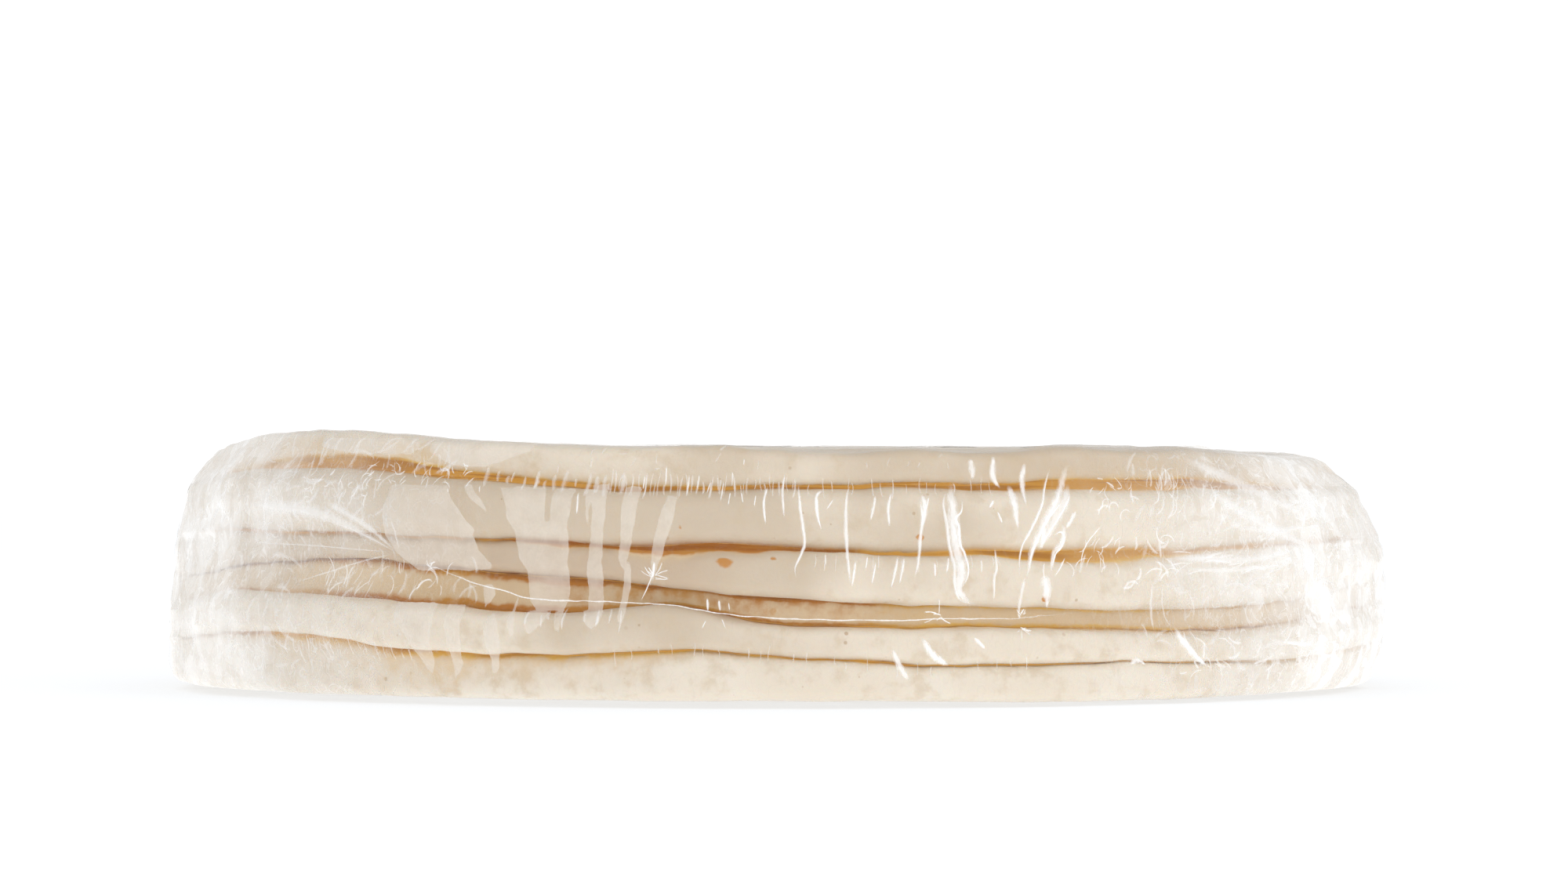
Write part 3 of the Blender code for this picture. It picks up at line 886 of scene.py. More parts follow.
past_top, past_base = (np.maximum(edge - skin[..., 0], 0.0) for edge, _ in (TOP_EDGE, BASE_EDGE))
skin_up = skin[..., 1] + np.where(skin[..., 1] > TOP_EDGE[1], past_top, 0.0)
skin_up -= np.where(skin[..., 1] < BASE_EDGE[1], past_base, 0.0)
pocket = np.full(air.shape, NO_POCKET)
for stations in POCKETS:
    pocket = np.maximum(pocket, inside_pocket(stations, front_arc, skin_up))
stretched = in_space(skin, directions) * PATCH_STRETCH
hidden = grown(np.abs(front_arc), *HIDDEN_FROM)
patches = milky_patches(stretched, 17.0, 6.0)
pocket = np.maximum(pocket, patches * hidden + NO_POCKET * (1.0 - hidden))
layers = by_height(LAYER_SHARES, skin_up)
layers *= np.clip(1.0 - (skin_up - EDGE_HEIGHT) / 30.0, TOP_LAYERS, 1.0)
layers += lumps(stretched, LAYER_PATCHES, seed=80) * grown(layers, 0.0, 0.35)
layers = np.clip(layers, 0.0, MOST_LAYERS)
crumpled = by_direction(CRUMPLE_SHARES)[None] * np.ones_like(pocket)

film_points = in_space(skin, directions)
free = grown(air, 0.0, FREE_FROM)
free = free * (SMOOTH_SHARE + (1.0 - SMOOTH_SHARE) * by_direction(CRUMPLE_SHARES))
raised = np.zeros_like(air)
for seed, (size, height) in enumerate(WRINKLES, 40):
    creased = 1.0 - 2.0 * np.abs(noise(film_points * WRINKLE_STRETCH, size, seed))
    raised += height * creased
raised = raised * free + LIFT_OVER_POCKET * grown(pocket, 0.0, POCKET_ENDS)
raised[[0, -1]] = 0.0
skin += taut_normals * smoothed(raised, 1)[..., None]
skin[..., 1] = np.maximum(skin[..., 1], FOOT_CLEARANCE)

crinkle_lines = crinkle_group()
film = film_finish()
film_points = in_space(skin, directions)
sector_columns = COLUMNS // SECTORS
for sector in range(SECTORS):
    columns = np.arange(sector * sector_columns, (sector + 1) * sector_columns + 1) % COLUMNS
    piece = make_piece(
        f"film_side_{sector + 1}",
        film_points[:, columns].reshape(-1, 3),
        [sheet_faces(FILM_ROWS, sector_columns + 1, closed=False)],
        film, "stretch_film", ["film_wrap"],
        pocket=pocket[:, columns],
        layers=layers[:, columns],
        crumpled=crumpled[:, columns],
    )
    unseen_by_light(piece)

covered = section[section[:, 0, 0] < FILM_START - 1.0]  # the top crust's face, inside the side skin
covered = covered[: np.argmax(covered[:, 0, 0]) + 1] + (0.0, CLEARANCE)
base_rings = [skin[-1] * (share, 1.0) for share in BASE_RINGS]
for name, rings, facing_up in (
    ("film_top", np.concatenate([covered, skin[:1]]), True),
    ("film_base", np.array(base_rings), False),
):
    points = in_space(rings, directions).reshape(-1, 3)
    last = 0 if facing_up else (len(rings) - 1) * COLUMNS
    middle = (*axis, rings[0 if facing_up else -1, :, 1].mean())
    points = np.vstack([points, middle])
    faces = [sheet_faces(len(rings), COLUMNS), fan_faces(last, len(points) - 1, facing_up)]
    piece = make_piece(
        name, points, faces, film, "stretch_film", ["film_wrap"],
        pocket=milky_patches(points, 19.0, 7.0),
        **{kind: np.full(len(points), share) for kind, share in TOP_SHARES.items()},
    )
    unseen_by_light(piece)

# ---------------------------------------------------------------------------------------------
# The film's white folds: where the tight film is gathered, it stands up in narrow ridges that
# look white, partly from the doubled film's own haze and partly as painted highlight and glow.
# They are the film itself, so each is a low ridge that lies on the skin.
OUTSIDE = 165.0  # paths are drawn at this radius, then laid on the skin
FOLD_STEP = 0.5
FOLD_LIFT = 0.12
FOLD_RIDGE = 0.55  # the ridge's height, as a share of its half width
WHITE = (1.0, 0.995, 0.985)

# Folds on the front: widths at their two ends, then (across, up) along them.
WHITE_FOLDS = (
    (0.5, 0.4, (-30.4, 52.9), (-30.6, 49.3)),
    (0.45, 0.35, (-25.3, 55.0), (-25.4, 49.9)),
    (0.6, 0.5, (-19.9, 53.1), (-20.4, 47.7)),
    (0.5, 0.4, (-17.6, 53.1), (-18.0, 49.3)),
    (0.5, 0.4, (-15.0, 51.2), (-15.8, 48.4)),
    (0.6, 0.6, (-11.9, 51.5), (-12.5, 46.6)),
    (0.5, 0.4, (-9.9, 53.8), (-10.0, 50.0)),
    (0.45, 0.4, (-10.3, 49.0), (-10.7, 45.8)),
    (0.5, 0.4, (-7.2, 56.6), (-7.3, 54.8)),
    (0.5, 0.4, (-7.8, 49.0), (-7.3, 46.3)),
    (0.5, 0.4, (-4.4, 48.4), (-4.8, 45.6)),
    (0.8, 0.8, (-1.6, 50.4), (-2.6, 46.5), (-2.1, 41.4)),
    (0.8, 0.9, (2.4, 53.6), (1.7, 49.0), (2.1, 42.8)),
    (1.2, 0.8, (5.3, 51.3), (5.7, 45.6), (6.7, 38.0), (6.0, 35.2), (4.5, 31.8), (5.0, 29.0)),
    (1.6, 0.6, (11.2, 49.4), (9.5, 48.0), (9.7, 43.7), (10.7, 40.0)),
    (0.6, 0.5, (13.3, 47.3), (11.7, 45.0)),
    (1.4, 1.2, (17.7, 50.8), (16.4, 48.0), (16.1, 41.8), (16.6, 31.4), (17.3, 27.5)),
    (1.0, 1.1, (23.0, 48.3), (21.6, 42.2)),
    (1.1, 1.0, (26.8, 49.0), (25.8, 45.6), (26.1, 40.8)),
    (1.3, 1.1, (33.0, 48.0), (33.6, 43.2), (33.3, 40.0), (32.7, 34.3), (31.3, 29.0)),
    (1.0, 0.8, (35.4, 48.0), (33.6, 42.8)),
    (1.3, 1.1, (40.2, 50.0), (38.6, 46.4), (39.3, 42.0), (39.9, 37.0), (40.6, 32.5), (40.6, 27.8),
     (42.0, 24.6), (45.5, 23.6)),
    (1.0, 0.9, (43.1, 48.0), (42.8, 44.6), (41.5, 43.0), (42.2, 40.8), (42.5, 37.0), (43.4, 34.8),
     (43.8, 30.7), (42.8, 28.1), (41.6, 27.4)),
    (0.7, 0.6, (40.6, 42.0), (41.9, 37.6)),
    (1.2, 1.0, (50.4, 47.1), (49.1, 45.2)),
    (0.9, 0.7, (51.0, 44.6), (52.1, 41.7)),
    (0.9, 0.9, (50.4, 36.7), (50.4, 31.9), (49.8, 29.1), (49.9, 23.7)),
    (1.1, 0.8, (65.3, 55.0), (63.0, 49.6), (60.8, 44.6), (58.3, 39.5), (57.0, 37.0), (55.8, 32.6),
     (55.5, 29.4)),
    (1.2, 1.0, (67.5, 50.9), (64.6, 46.1), (62.1, 42.0), (59.9, 37.0), (58.3, 32.6), (57.0, 29.4)),
    (0.8, 0.6, (69.0, 49.0), (66.0, 44.0), (63.0, 39.6), (61.0, 36.0)),
    (0.7, 0.6, (66.4, 46.8), (62.8, 42.6), (60.4, 38.6)),
    (0.9, 0.7, (63.8, 38.6), (65.6, 39.8), (66.6, 38.6), (66.2, 36.4), (64.6, 34.6), (63.4, 31.0)),
    (0.7, 0.5, (62.0, 33.0), (61.2, 31.0), (61.6, 28.6)),
    (0.8, 0.6, (67.0, 34.0), (65.2, 31.4), (63.6, 29.6)),
    (0.5, 0.4, (75.6, 41.6), (73.0, 38.4), (71.3, 35.4), (70.0, 31.3)),
    (0.5, 0.4, (11.4, 35.2), (11.4, 32.3)),
    (1.0, 0.8, (18.2, 33.7), (17.3, 27.5)),
    (0.5, 0.4, (21.0, 34.6), (20.4, 31.4)),
    (0.7, 0.6, (22.8, 33.2), (21.8, 28.0)),
    (1.0, 0.8, (28.0, 34.6), (26.1, 27.0)),
    (0.9, 0.8, (29.4, 34.3), (28.0, 28.0)),
    (0.8, 0.7, (36.3, 33.2), (36.2, 29.6)),
    (0.8, 0.7, (39.6, 34.3), (38.8, 30.6)),
    (0.6, 0.5, (47.0, 33.7), (46.8, 30.4)),
    (2.0, 2.0, (26.3, 13.9), (28.2, 9.8), (30.4, 6.2)),
    (2.6, 2.2, (33.2, 16.2), (35.4, 12.4), (39.6, 9.6)),
    (1.3, 1.3, (44.8, 16.2), (47.6, 13.4)),
    (0.9, 0.7, (-15.4, 25.2), (-15.3, 22.0)),
    (0.9, 0.7, (-12.8, 24.8), (-12.5, 22.0)),
    (0.5, 0.3, (-15.6, 20.2), (-16.6, 18.0)),
    (0.5, 0.3, (-12.2, 20.6), (-11.2, 18.2)),
    (0.4, 0.4, (-10.6, 24.2), (-10.4, 22.2)),
    (0.9, 0.7, (-45.2, 49.0), (-45.0, 46.4), (-45.2, 43.6)),
    (0.6, 0.6, (-68.2, 50.4), (-67.8, 48.6)),
    (0.6, 0.5, (-75.2, 49.8), (-75.0, 48.6)),
    (0.5, 0.4, (-27.7, 34.0), (-27.4, 31.6), (-28.9, 27.8), (-30.7, 24.0)),
    (3.6, 1.6, (91.6, 18.0), (93.2, 14.6), (96.4, 11.0), (100.4, 8.2)),
    (2.6, 1.0, (80.8, 9.4), (82.4, 10.4), (84.8, 9.2)),
    (1.2, 1.0, (118.0, 13.6), (121.0, 13.0), (124.4, 12.4)),
)
# Wider folds, which lie flat and let more of the dough show.
WIDE_FOLDS = (
    (4.6, 3.0, (41.4, 51.6), (40.6, 47.7), (40.9, 43.3), (41.2, 38.9), (41.9, 34.1), (42.2, 30.0),
     (41.5, 26.9), (43.8, 24.3), (46.6, 23.4)),
    (4.0, 1.0, (54.6, 50.6), (55.1, 45.2), (55.9, 40.1)),
    (2.6, 1.0, (58.9, 55.8), (57.8, 50.6), (57.8, 45.4)),
    (3.8, 1.8, (69.7, 56.0), (67.5, 50.9), (64.6, 46.1), (62.1, 42.0), (59.9, 37.0), (58.3, 32.6),
     (57.0, 28.4)),
    (4.2, 2.8, (69.2, 51.0), (65.9, 44.6), (62.7, 39.5), (60.4, 35.0)),
    (1.8, 1.4, (69.6, 44.6), (67.0, 40.4)),
    (2.6, 1.2, (66.5, 42.0), (66.4, 37.6), (64.3, 34.8), (63.0, 30.2)),
    (2.4, 1.8, (62.2, 41.4), (61.4, 35.6)),
    (4.8, 0.8, (61.4, 30.4), (62.1, 25.6), (62.6, 22.0)),
    (2.4, 1.6, (51.3, 57.2), (51.0, 52.8), (52.6, 49.5)),
    (2.6, 1.8, (45.7, 56.6), (46.3, 51.6)),
    (1.9, 1.6, (33.9, 48.6), (34.2, 44.0), (33.2, 40.6)),
    (1.5, 1.1, (57.0, 29.8), (56.1, 25.6), (56.1, 20.0)),
)


def tree_ends(tree, *inputs):
    """A Geometry Nodes tree's named inputs, as (name, kind, value), and its result's socket."""
    for name, kind, value in (("Geometry", "Geometry", None), *inputs):
        socket = tree.interface.new_socket(name, in_out="INPUT", socket_type="NodeSocket" + kind)
        if value is not None:
            socket.default_value = value
    tree.interface.new_socket("Geometry", in_out="OUTPUT", socket_type="NodeSocketGeometry")
    return node(tree, "NodeGroupInput").outputs, node(tree, "NodeGroupOutput").inputs["Geometry"]


def step(tree, kind, inputs=(), **settings):
    """A Geometry node's first output."""
    return node(tree, "GeometryNode" + kind, inputs, **settings).outputs[0]


def stored(geometry, name, value):
    """Geometry that carries a value under a name."""
    inputs = {"Geometry": geometry, "Name": name, "Value": value}
    return step(geometry.id_data, "StoreNamedAttribute", inputs)


def carried(tree, name):
    """The value that the geometry carries under a name."""
    return step(tree, "InputNamedAttribute", {"Name": name}, data_type="FLOAT")


def away_from_pack(tree):
    """The level direction from the pack's axis to each point."""
    away = vectors("SUBTRACT", step(tree, "InputPosition"), (*(axis * MM), 0.0))
    return vectors("NORMALIZE", vectors("MULTIPLY", away, (1.0, 1.0, 0.0)))


def bulge(factor):
    """A value that goes from 0 up to 1 and back along a spline."""
    return times(times(factor, minus(1.0, factor)), 4.0, clamp=True)


RIDGE_SIZES = (
    ("From Above", "Bool", False),
    ("Lift", "Float", FOLD_LIFT * MM),
    ("Ridge", "Float", FOLD_RIDGE),
    ("Taper", "Float", 0.6),
)


def lay_on_film_tree():
    """Splines laid on the skin and swept with a low ridge, as wide as their points say."""
    tree = bpy.data.node_groups.new("lay_on_film", "GeometryNodeTree")
    inputs = ("Skin", "Geometry", None), ("Step", "Float", FOLD_STEP * MM), *RIDGE_SIZES
    given, result = tree_ends(tree, *inputs)
    inputs = {"Curve": given["Geometry"], "Length": given["Step"]}
    splines = step(tree, "ResampleCurve", inputs, mode="LENGTH")
    inputs = {"Switch": given["From Above"], "False": away_from_pack(tree), "True": (0.0, 0.0, 1.0)}
    away = step(tree, "Switch", inputs, input_type="VECTOR")
    inputs = {
        "Target Geometry": given["Skin"],
        "Source Position": step(tree, "InputPosition"),
        "Ray Direction": scaled(away, -1.0),
        "Ray Length": OUTSIDE * MM,
    }
    hit = node(tree, "GeometryNodeRaycast", inputs).outputs
    missed = fed("FunctionNodeBooleanMath", hit["Is Hit"], operation="NOT")
    inputs = {"Geometry": splines, "Selection": missed}
    splines = step(tree, "DeleteGeometry", inputs, domain="POINT")
    lifted = vectors("ADD", hit["Hit Position"], scaled(away, given["Lift"]))
    splines = step(tree, "SetPosition", {"Geometry": splines, "Position": lifted})

    tangent = step(tree, "InputTangent")
    inputs = {0: away, 1: tangent}
    share = node(tree, "ShaderNodeVectorMath", inputs, operation="DOT_PRODUCT").outputs["Value"]
    upright = vectors("NORMALIZE", vectors("SUBTRACT", away, scaled(tangent, share)))
    splines = step(tree, "SetCurveNormal", {"Curve": splines, "Normal": upright}, mode="FREE")
    factor = step(tree, "SplineParameter")
    splines = stored(splines, "along", factor)

    ends = {"Start": (0.0, -1.0, 0.0), "End": (0.0, 1.0, 0.0)}
    profile = step(tree, "CurvePrimitiveLine", ends)
    profile = step(tree, "ResampleCurve", {"Curve": profile, "Count": 5}, mode="COUNT")
    profile = stored(profile, "across", minus(times(factor, 2.0), 1.0))
    offset = fed("ShaderNodeCombineXYZ", times(bulge(factor), given["Ridge"]))
    profile = step(tree, "SetPosition", {"Geometry": profile, "Offset": offset})

    taper = maths("POWER", bulge(factor), given["Taper"])
    scale = times(carried(tree, "width"), taper)
    inputs = {"Curve": splines, "Profile Curve": profile, "Scale": scale}
    swept = step(tree, "CurveToMesh", inputs)
    tree.links.new(step(tree, "SetShadeSmooth", {"Geometry": swept}), result)
    return tree


def finished(tree, given, splines, result):
    """Splines laid on the skin object, made real and given their material."""
    skin = node(tree, "GeometryNodeObjectInfo", {"Object": given["Skin"]}).outputs["Geometry"]
    shared = {name: given[name] for name, _, _ in RIDGE_SIZES}
    inputs = {"Geometry": splines, "Skin": skin, **shared}
    laid = step(tree, "Group", inputs, node_tree=lay_on_film)
    real = step(tree, "RealizeInstances", {"Geometry": laid})
    inputs = {"Geometry": real, "Material": given["Finish"]}
    tree.links.new(step(tree, "SetMaterial", inputs), result)


LAYING = ("Skin", "Object", None), ("Finish", "Material", None), *RIDGE_SIZES


def curved(tree, mesh):
    """A mesh's edges as smooth splines."""
    paths = step(tree, "MeshToCurve", {"Mesh": mesh})
    return step(tree, "CurveSplineType", {"Curve": paths}, spline_type="CATMULL_ROM")


def fold_tree():
    """One fold along each path."""
    tree = bpy.data.node_groups.new("folds_along_paths", "GeometryNodeTree")
    given, result = tree_ends(tree, *LAYING)
    finished(tree, given, curved(tree, given["Geometry"]), result)
    return tree


def outside(arcs, ups):
    """Points beside the pack, from distances round it and heights."""
    section = np.stack([np.full(len(ups), OUTSIDE), ups], axis=-1)
    return in_space(section, np.degrees(np.asarray(arcs) / REACH))


def paths_on_front(rows):
    """Paths of (points, widths) from rows of two widths and places on the front."""
    paths = []
    for first_width, last_width, *places in rows:
        arcs = [arc(across) for across, _ in places]
        widths = np.linspace(first_width, last_width, len(places))
        paths.append((outside(arcs, [up for _, up in places]), widths))
    return paths


def make_folds(name, paths, tree, finish, **values):
    """A piece of film folds, grown by a tree along paths of (points, widths)."""
    points = np.concatenate([path for path, _ in paths])
    ends = np.cumsum([len(path) for path, _ in paths])
    edges = [(place, place + 1) for place in range(len(points) - 1) if place + 1 not in ends]
    drawn = bpy.data.meshes.new(name)
    drawn.from_pydata((points * MM).tolist(), edges, [])
    owns = np.random.default_rng(len(paths)).random(len(paths))
    carry(drawn, {
        "width": np.concatenate([widths for _, widths in paths]) * MM / 2.0,
        "own": np.repeat(owns, [len(path) for path, _ in paths]),
    })
    piece = placed(name, drawn)
    grower = piece.modifiers.new("grow", "NODES")
    grower.node_group = tree
    values = {"Skin": skin_guide, "Finish": finish, **values}
    for item in tree.interface.items_tree:
        if item.in_out == "INPUT" and item.name in values:
            grower[item.identifier] = values[item.name]
    graph = bpy.context.evaluated_depsgraph_get()
    mesh = bpy.data.meshes.new_from_object(piece.evaluated_get(graph))
    piece.modifiers.clear()
    piece.data = mesh
    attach(piece, "root")
    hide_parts("film_wrap")
    unseen_by_light(piece)


def fold_finish(name, strength, glow):
    """White, glossy film edge-on: dense along the ridge, thin at its sides and ends. Its white is
    partly painted highlight, and it has a painted glow.
    """
    finish, tree, shader, where = new_finish(name)
    across = maths("ABSOLUTE", read(tree, "across"))
    streaks = mottle(vectors("MULTIPLY", where, (1.0, 1.0, 0.3)), 0.7)
    body = ramp(plus(minus(1.15, across), times(streaks, 0.9)), 0.6, 1.5)
    along = read(tree, "along")
    ends = ramp(maths("MINIMUM", along, minus(1.0, along)), 0.0, 0.2)
    own = evenly(read(tree, "own"), strength * 0.7, strength)
    give(shader, {
        "Alpha": times(times(body, ends), own, clamp=True),
        "Base Color": WHITE,
        "Roughness": 0.15,
        "Emission Color": WHITE,
        "Emission Strength": glow,
    })
    return finish


guide_mesh = bpy.data.meshes.new("skin_guide")
guide_rings = np.concatenate([covered, skin])
guide_points = in_space(guide_rings, directions).reshape(-1, 3) * MM
guide_mesh.from_pydata(guide_points.tolist(), [], sheet_faces(len(guide_rings), COLUMNS).tolist())
skin_guide = placed("skin_guide", guide_mesh)

lay_on_film = lay_on_film_tree()
folds_along_paths = fold_tree()
# The folds are white partly as painted highlight, with a painted glow of this strength.
white_fold = fold_finish("white_fold", strength=0.92, glow=0.17)
wide_fold = fold_finish("wide_fold", strength=0.76, glow=0.15)
for name, rows, finish, values in (
    ("film_wide_folds", WIDE_FOLDS, wide_fold, {"Ridge": 0.18}),
    ("film_white_folds", WHITE_FOLDS, white_fold, {"Lift": 0.3 * MM}),
):
    make_folds(name, paths_on_front(rows), folds_along_paths, finish, **values)

# ---------------------------------------------------------------------------------------------
# The film's pleats: short, fine upright gathers, side by side, where the tight film bridges the
# gaps between rims. They are the film itself.

# Rails: spacing, height, width, seed, then (across, up) along the middle of the pleats.
PLEAT_RAILS = (
    (2.3, 4.8, 1.5, 3, (-66.5, 52.2), (-56.0, 51.2), (-46.0, 50.6), (-36.0, 50.4)),
    (1.2, 5.4, 0.6, 4, (-38.0, 50.8), (-26.0, 50.3), (-14.0, 50.2), (-4.0, 50.2), (4.0, 50.4)),
    (3.2, 4.5, 0.4, 5, (4.0, 50.2), (20.0, 49.9), (36.0, 50.0), (50.0, 50.2)),
    (3.4, 4.0, 0.4, 6, (8.0, 33.5), (24.0, 32.5), (40.0, 32.5), (52.0, 33.0)),
    (2.8, 5.0, 0.9, 7, (-56.0, 20.5), (-44.0, 20.0), (-34.0, 20.5)),
    (4.5, 4.0, 0.35, 8, (-36.0, 12.0), (-10.0, 13.0), (30.0, 9.0), (56.0, 10.0)),
    (2.6, 4.5, 0.6, 9, (-120.0, 13.5), (-104.0, 13.0), (-92.0, 12.5), (-84.0, 11.0)),
)
# The same round the sides and the back: spacing, height, width, seed, up, then the distances
# round the pack where they start and end.
HIDDEN_RAILS = (
    (2.4, 7.0, 0.6, 21, 50.0, 190.0, 330.0),
    (2.2, 7.0, 0.7, 22, 50.5, 400.0, 560.0),
    (3.2, 6.0, 0.6, 23, 51.0, 600.0, 720.0),
    (3.0, 6.0, 0.6, 24, 34.0, 240.0, 420.0),
    (3.4, 6.0, 0.6, 25, 20.0, 330.0, 640.0),
    (3.0, 5.0, 0.5, 26, 10.0, 200.0, 460.0),
)
RAIL_POINTS = 9
RAIL_WAVE = (2.0, 31.0)  # these rails go up and down by this much, over this length


def pleat_tree():
    """A short, slightly bowed pleat at every step along a rail."""
    tree = bpy.data.node_groups.new("pleats_along_rails", "GeometryNodeTree")
    given, result = tree_ends(
        tree,
        *LAYING,
        ("Spacing", "Float", 2.0 * MM),
        ("Height", "Float", 6.0 * MM),
        ("Lean", "Float", 0.16),
        ("Bow", "Float", 1.2 * MM),
        ("Seed", "Int", 1),
    )

    def drawn(low, high, turn):
        """A random value for each pleat."""
        inputs = {2: low, 3: high, "Seed": plus(given["Seed"], turn)}
        return node(tree, "FunctionNodeRandomValue", inputs, data_type="FLOAT").outputs[1]

    rails = curved(tree, given["Geometry"])
    rails = step(tree, "ResampleCurve", {"Curve": rails, "Length": given["Spacing"]}, mode="LENGTH")
    sideways = times(drawn(-0.5, 0.5, 100.0), given["Spacing"])
    sideways = scaled(step(tree, "InputTangent"), sideways)
    upward = times(drawn(-0.16, 0.16, 200.0), given["Height"])
    upward = node(tree, "ShaderNodeCombineXYZ", {"Z": upward}).outputs[0]
    offset = vectors("ADD", sideways, upward)
    rails = step(tree, "SetPosition", {"Geometry": rails, "Offset": offset})
    rails = stored(rails, "width", times(carried(tree, "width"), drawn(0.45, 1.35, 300.0)))
    rails = stored(rails, "own", drawn(0.0, 1.0, 400.0))

    upright = step(tree, "CurvePrimitiveLine", {"Start": (0.0, 0.0, -0.5), "End": (0.0, 0.0, 0.5)})
    upright = step(tree, "ResampleCurve", {"Curve": upright, "Count": 9}, mode="COUNT")
    lean = times(drawn(-1.0, 1.0, 500.0), given["Lean"])
    inputs = {"Axis": away_from_pack(tree), "Angle": lean}
    leaning = node(tree, "FunctionNodeAxisAngleToRotation", inputs).outputs[0]
    height = times(given["Height"], drawn(0.45, 1.25, 600.0))
    scale = node(tree, "ShaderNodeCombineXYZ", {"X": 1.0, "Y": 1.0, "Z": height}).outputs[0]
    inputs = {"Points": rails, "Instance": upright, "Rotation": leaning, "Scale": scale}
    pleats = step(tree, "RealizeInstances", {"Geometry": step(tree, "InstanceOnPoints", inputs)})
    side = minus(carried(tree, "own"), 0.5)
    bow = times(times(side, given["Bow"]), bulge(step(tree, "SplineParameter")))
    level = vectors("CROSS_PRODUCT", (0.0, 0.0, 1.0), away_from_pack(tree))
    inputs = {"Geometry": pleats, "Offset": scaled(level, bow)}
    finished(tree, given, step(tree, "SetPosition", inputs), result)
    return tree


pleats_along_rails = pleat_tree()
# The pleats are white partly as painted highlight, with a faint painted glow.
pleat = fold_finish("pleat", strength=0.45, glow=0.08)
rails = [(*rail[:4], [arc(across) for across, _ in rail[4:]], [up for _, up in rail[4:]])
         for rail in PLEAT_RAILS]
for *sizes, up, start, end in HIDDEN_RAILS:
    arcs = np.linspace(start, end, RAIL_POINTS)
    rails.append((*sizes, arcs, up + RAIL_WAVE[0] * np.sin(arcs / RAIL_WAVE[1])))
for number, (spacing, height, width, seed, arcs, ups) in enumerate(rails, 1):
    make_folds(
        f"film_pleats_{number}", [(outside(arcs, ups), np.full(len(ups), width))],
        pleats_along_rails, pleat, Spacing=spacing * MM, Height=height * MM, Seed=seed,
    )

# ---------------------------------------------------------------------------------------------
# The film's free edge: the end of the wrap, shrunk to a fine thread, which runs round the front.
# Small stars of creases spread from where it sticks. It is the film itself, rolled thin.
FREE_EDGE = (
    (-92.5, 33.4), (-86.0, 32.4), (-80.2, 31.9), (-74.7, 29.7), (-70.0, 28.0), (-62.9, 26.5),
    (-58.2, 25.0), (-52.0, 24.4), (-41.0, 24.2), (-30.4, 23.9), (-23.3, 23.6), (-16.2, 22.2),
    (-7.4, 21.0), (1.4, 20.4), (14.0, 20.1), (27.9, 19.9), (36.9, 20.4), (46.0, 20.2),
    (54.9, 20.2), (64.0, 21.0), (73.6, 21.8),
)
FREE_EDGE_POINTS = 120
FREE_EDGE_WIDTH = 0.42
WIDTH_CHANGE = 0.45
EDGE_TREMOR = 0.12
# Stars of creases: middle, number of creases, longest crease, the direction that they lean to.
STARS = (
    ((-27.7, 29.6), 12, 4.2, 30.0),
    ((37.7, 21.0), 8, 4.2, -60.0),
    ((56.7, 20.6), 9, 2.2, 0.0),
    ((56.2, 17.8), 6, 3.2, 180.0),
    ((-81.0, 31.6), 7, 2.6, 30.0),
)
STAR_SPREAD = 70.0
STAR_WIDTHS = (0.25, 0.5)

along_edge = np.linspace(0.0, len(FREE_EDGE) - 1.0, FREE_EDGE_POINTS)
edge_across, edge_up = (
    np.interp(along_edge, np.arange(len(FREE_EDGE)), [place[part] for place in FREE_EDGE])
    for part in (0, 1)
)
shaking = np.stack([edge_across, edge_up, np.zeros_like(edge_up)], axis=-1)
edge_up = smoothed(edge_up[:, None], 2, across=False)[:, 0]
edge_up += EDGE_TREMOR * noise(shaking, 1.7, seed=31)
paths = [(
    outside([arc(across) for across in edge_across], edge_up),
    FREE_EDGE_WIDTH * (1.0 + WIDTH_CHANGE * noise(shaking, 4.0, seed=32)),
)]
random = np.random.default_rng(12)
for (across, up), count, longest, lean in STARS:
    for _ in range(count):
        turn = math.radians(lean + random.normal(0.0, STAR_SPREAD))
        length = longest * random.uniform(0.35, 1.0)
        start = random.normal(0.0, 0.35, 2)
        ends = start + np.outer((0.0, 0.55, 1.0), (math.sin(turn), math.cos(turn))) * length
        ends[1] += random.normal(0.0, 0.15, 2)
        arcs = arc(across) + ends[:, 0]
        paths.append((outside(arcs, up + ends[:, 1]), np.full(3, random.uniform(*STAR_WIDTHS))))
# The edge and its creases take the white folds' finish: partly painted highlight, with a painted
# glow.
values = {"Lift": 0.2 * MM, "Taper": 0.25, "Ridge": 0.9}
make_folds("film_free_edge", paths, folds_along_paths, white_fold, **values)

# ---------------------------------------------------------------------------------------------
# The film's crushed places: at the pack's ends, and where the end of the wrap was pressed down,
# the film is crumpled into small curls, creases and overlapping sheets. They are the film itself.

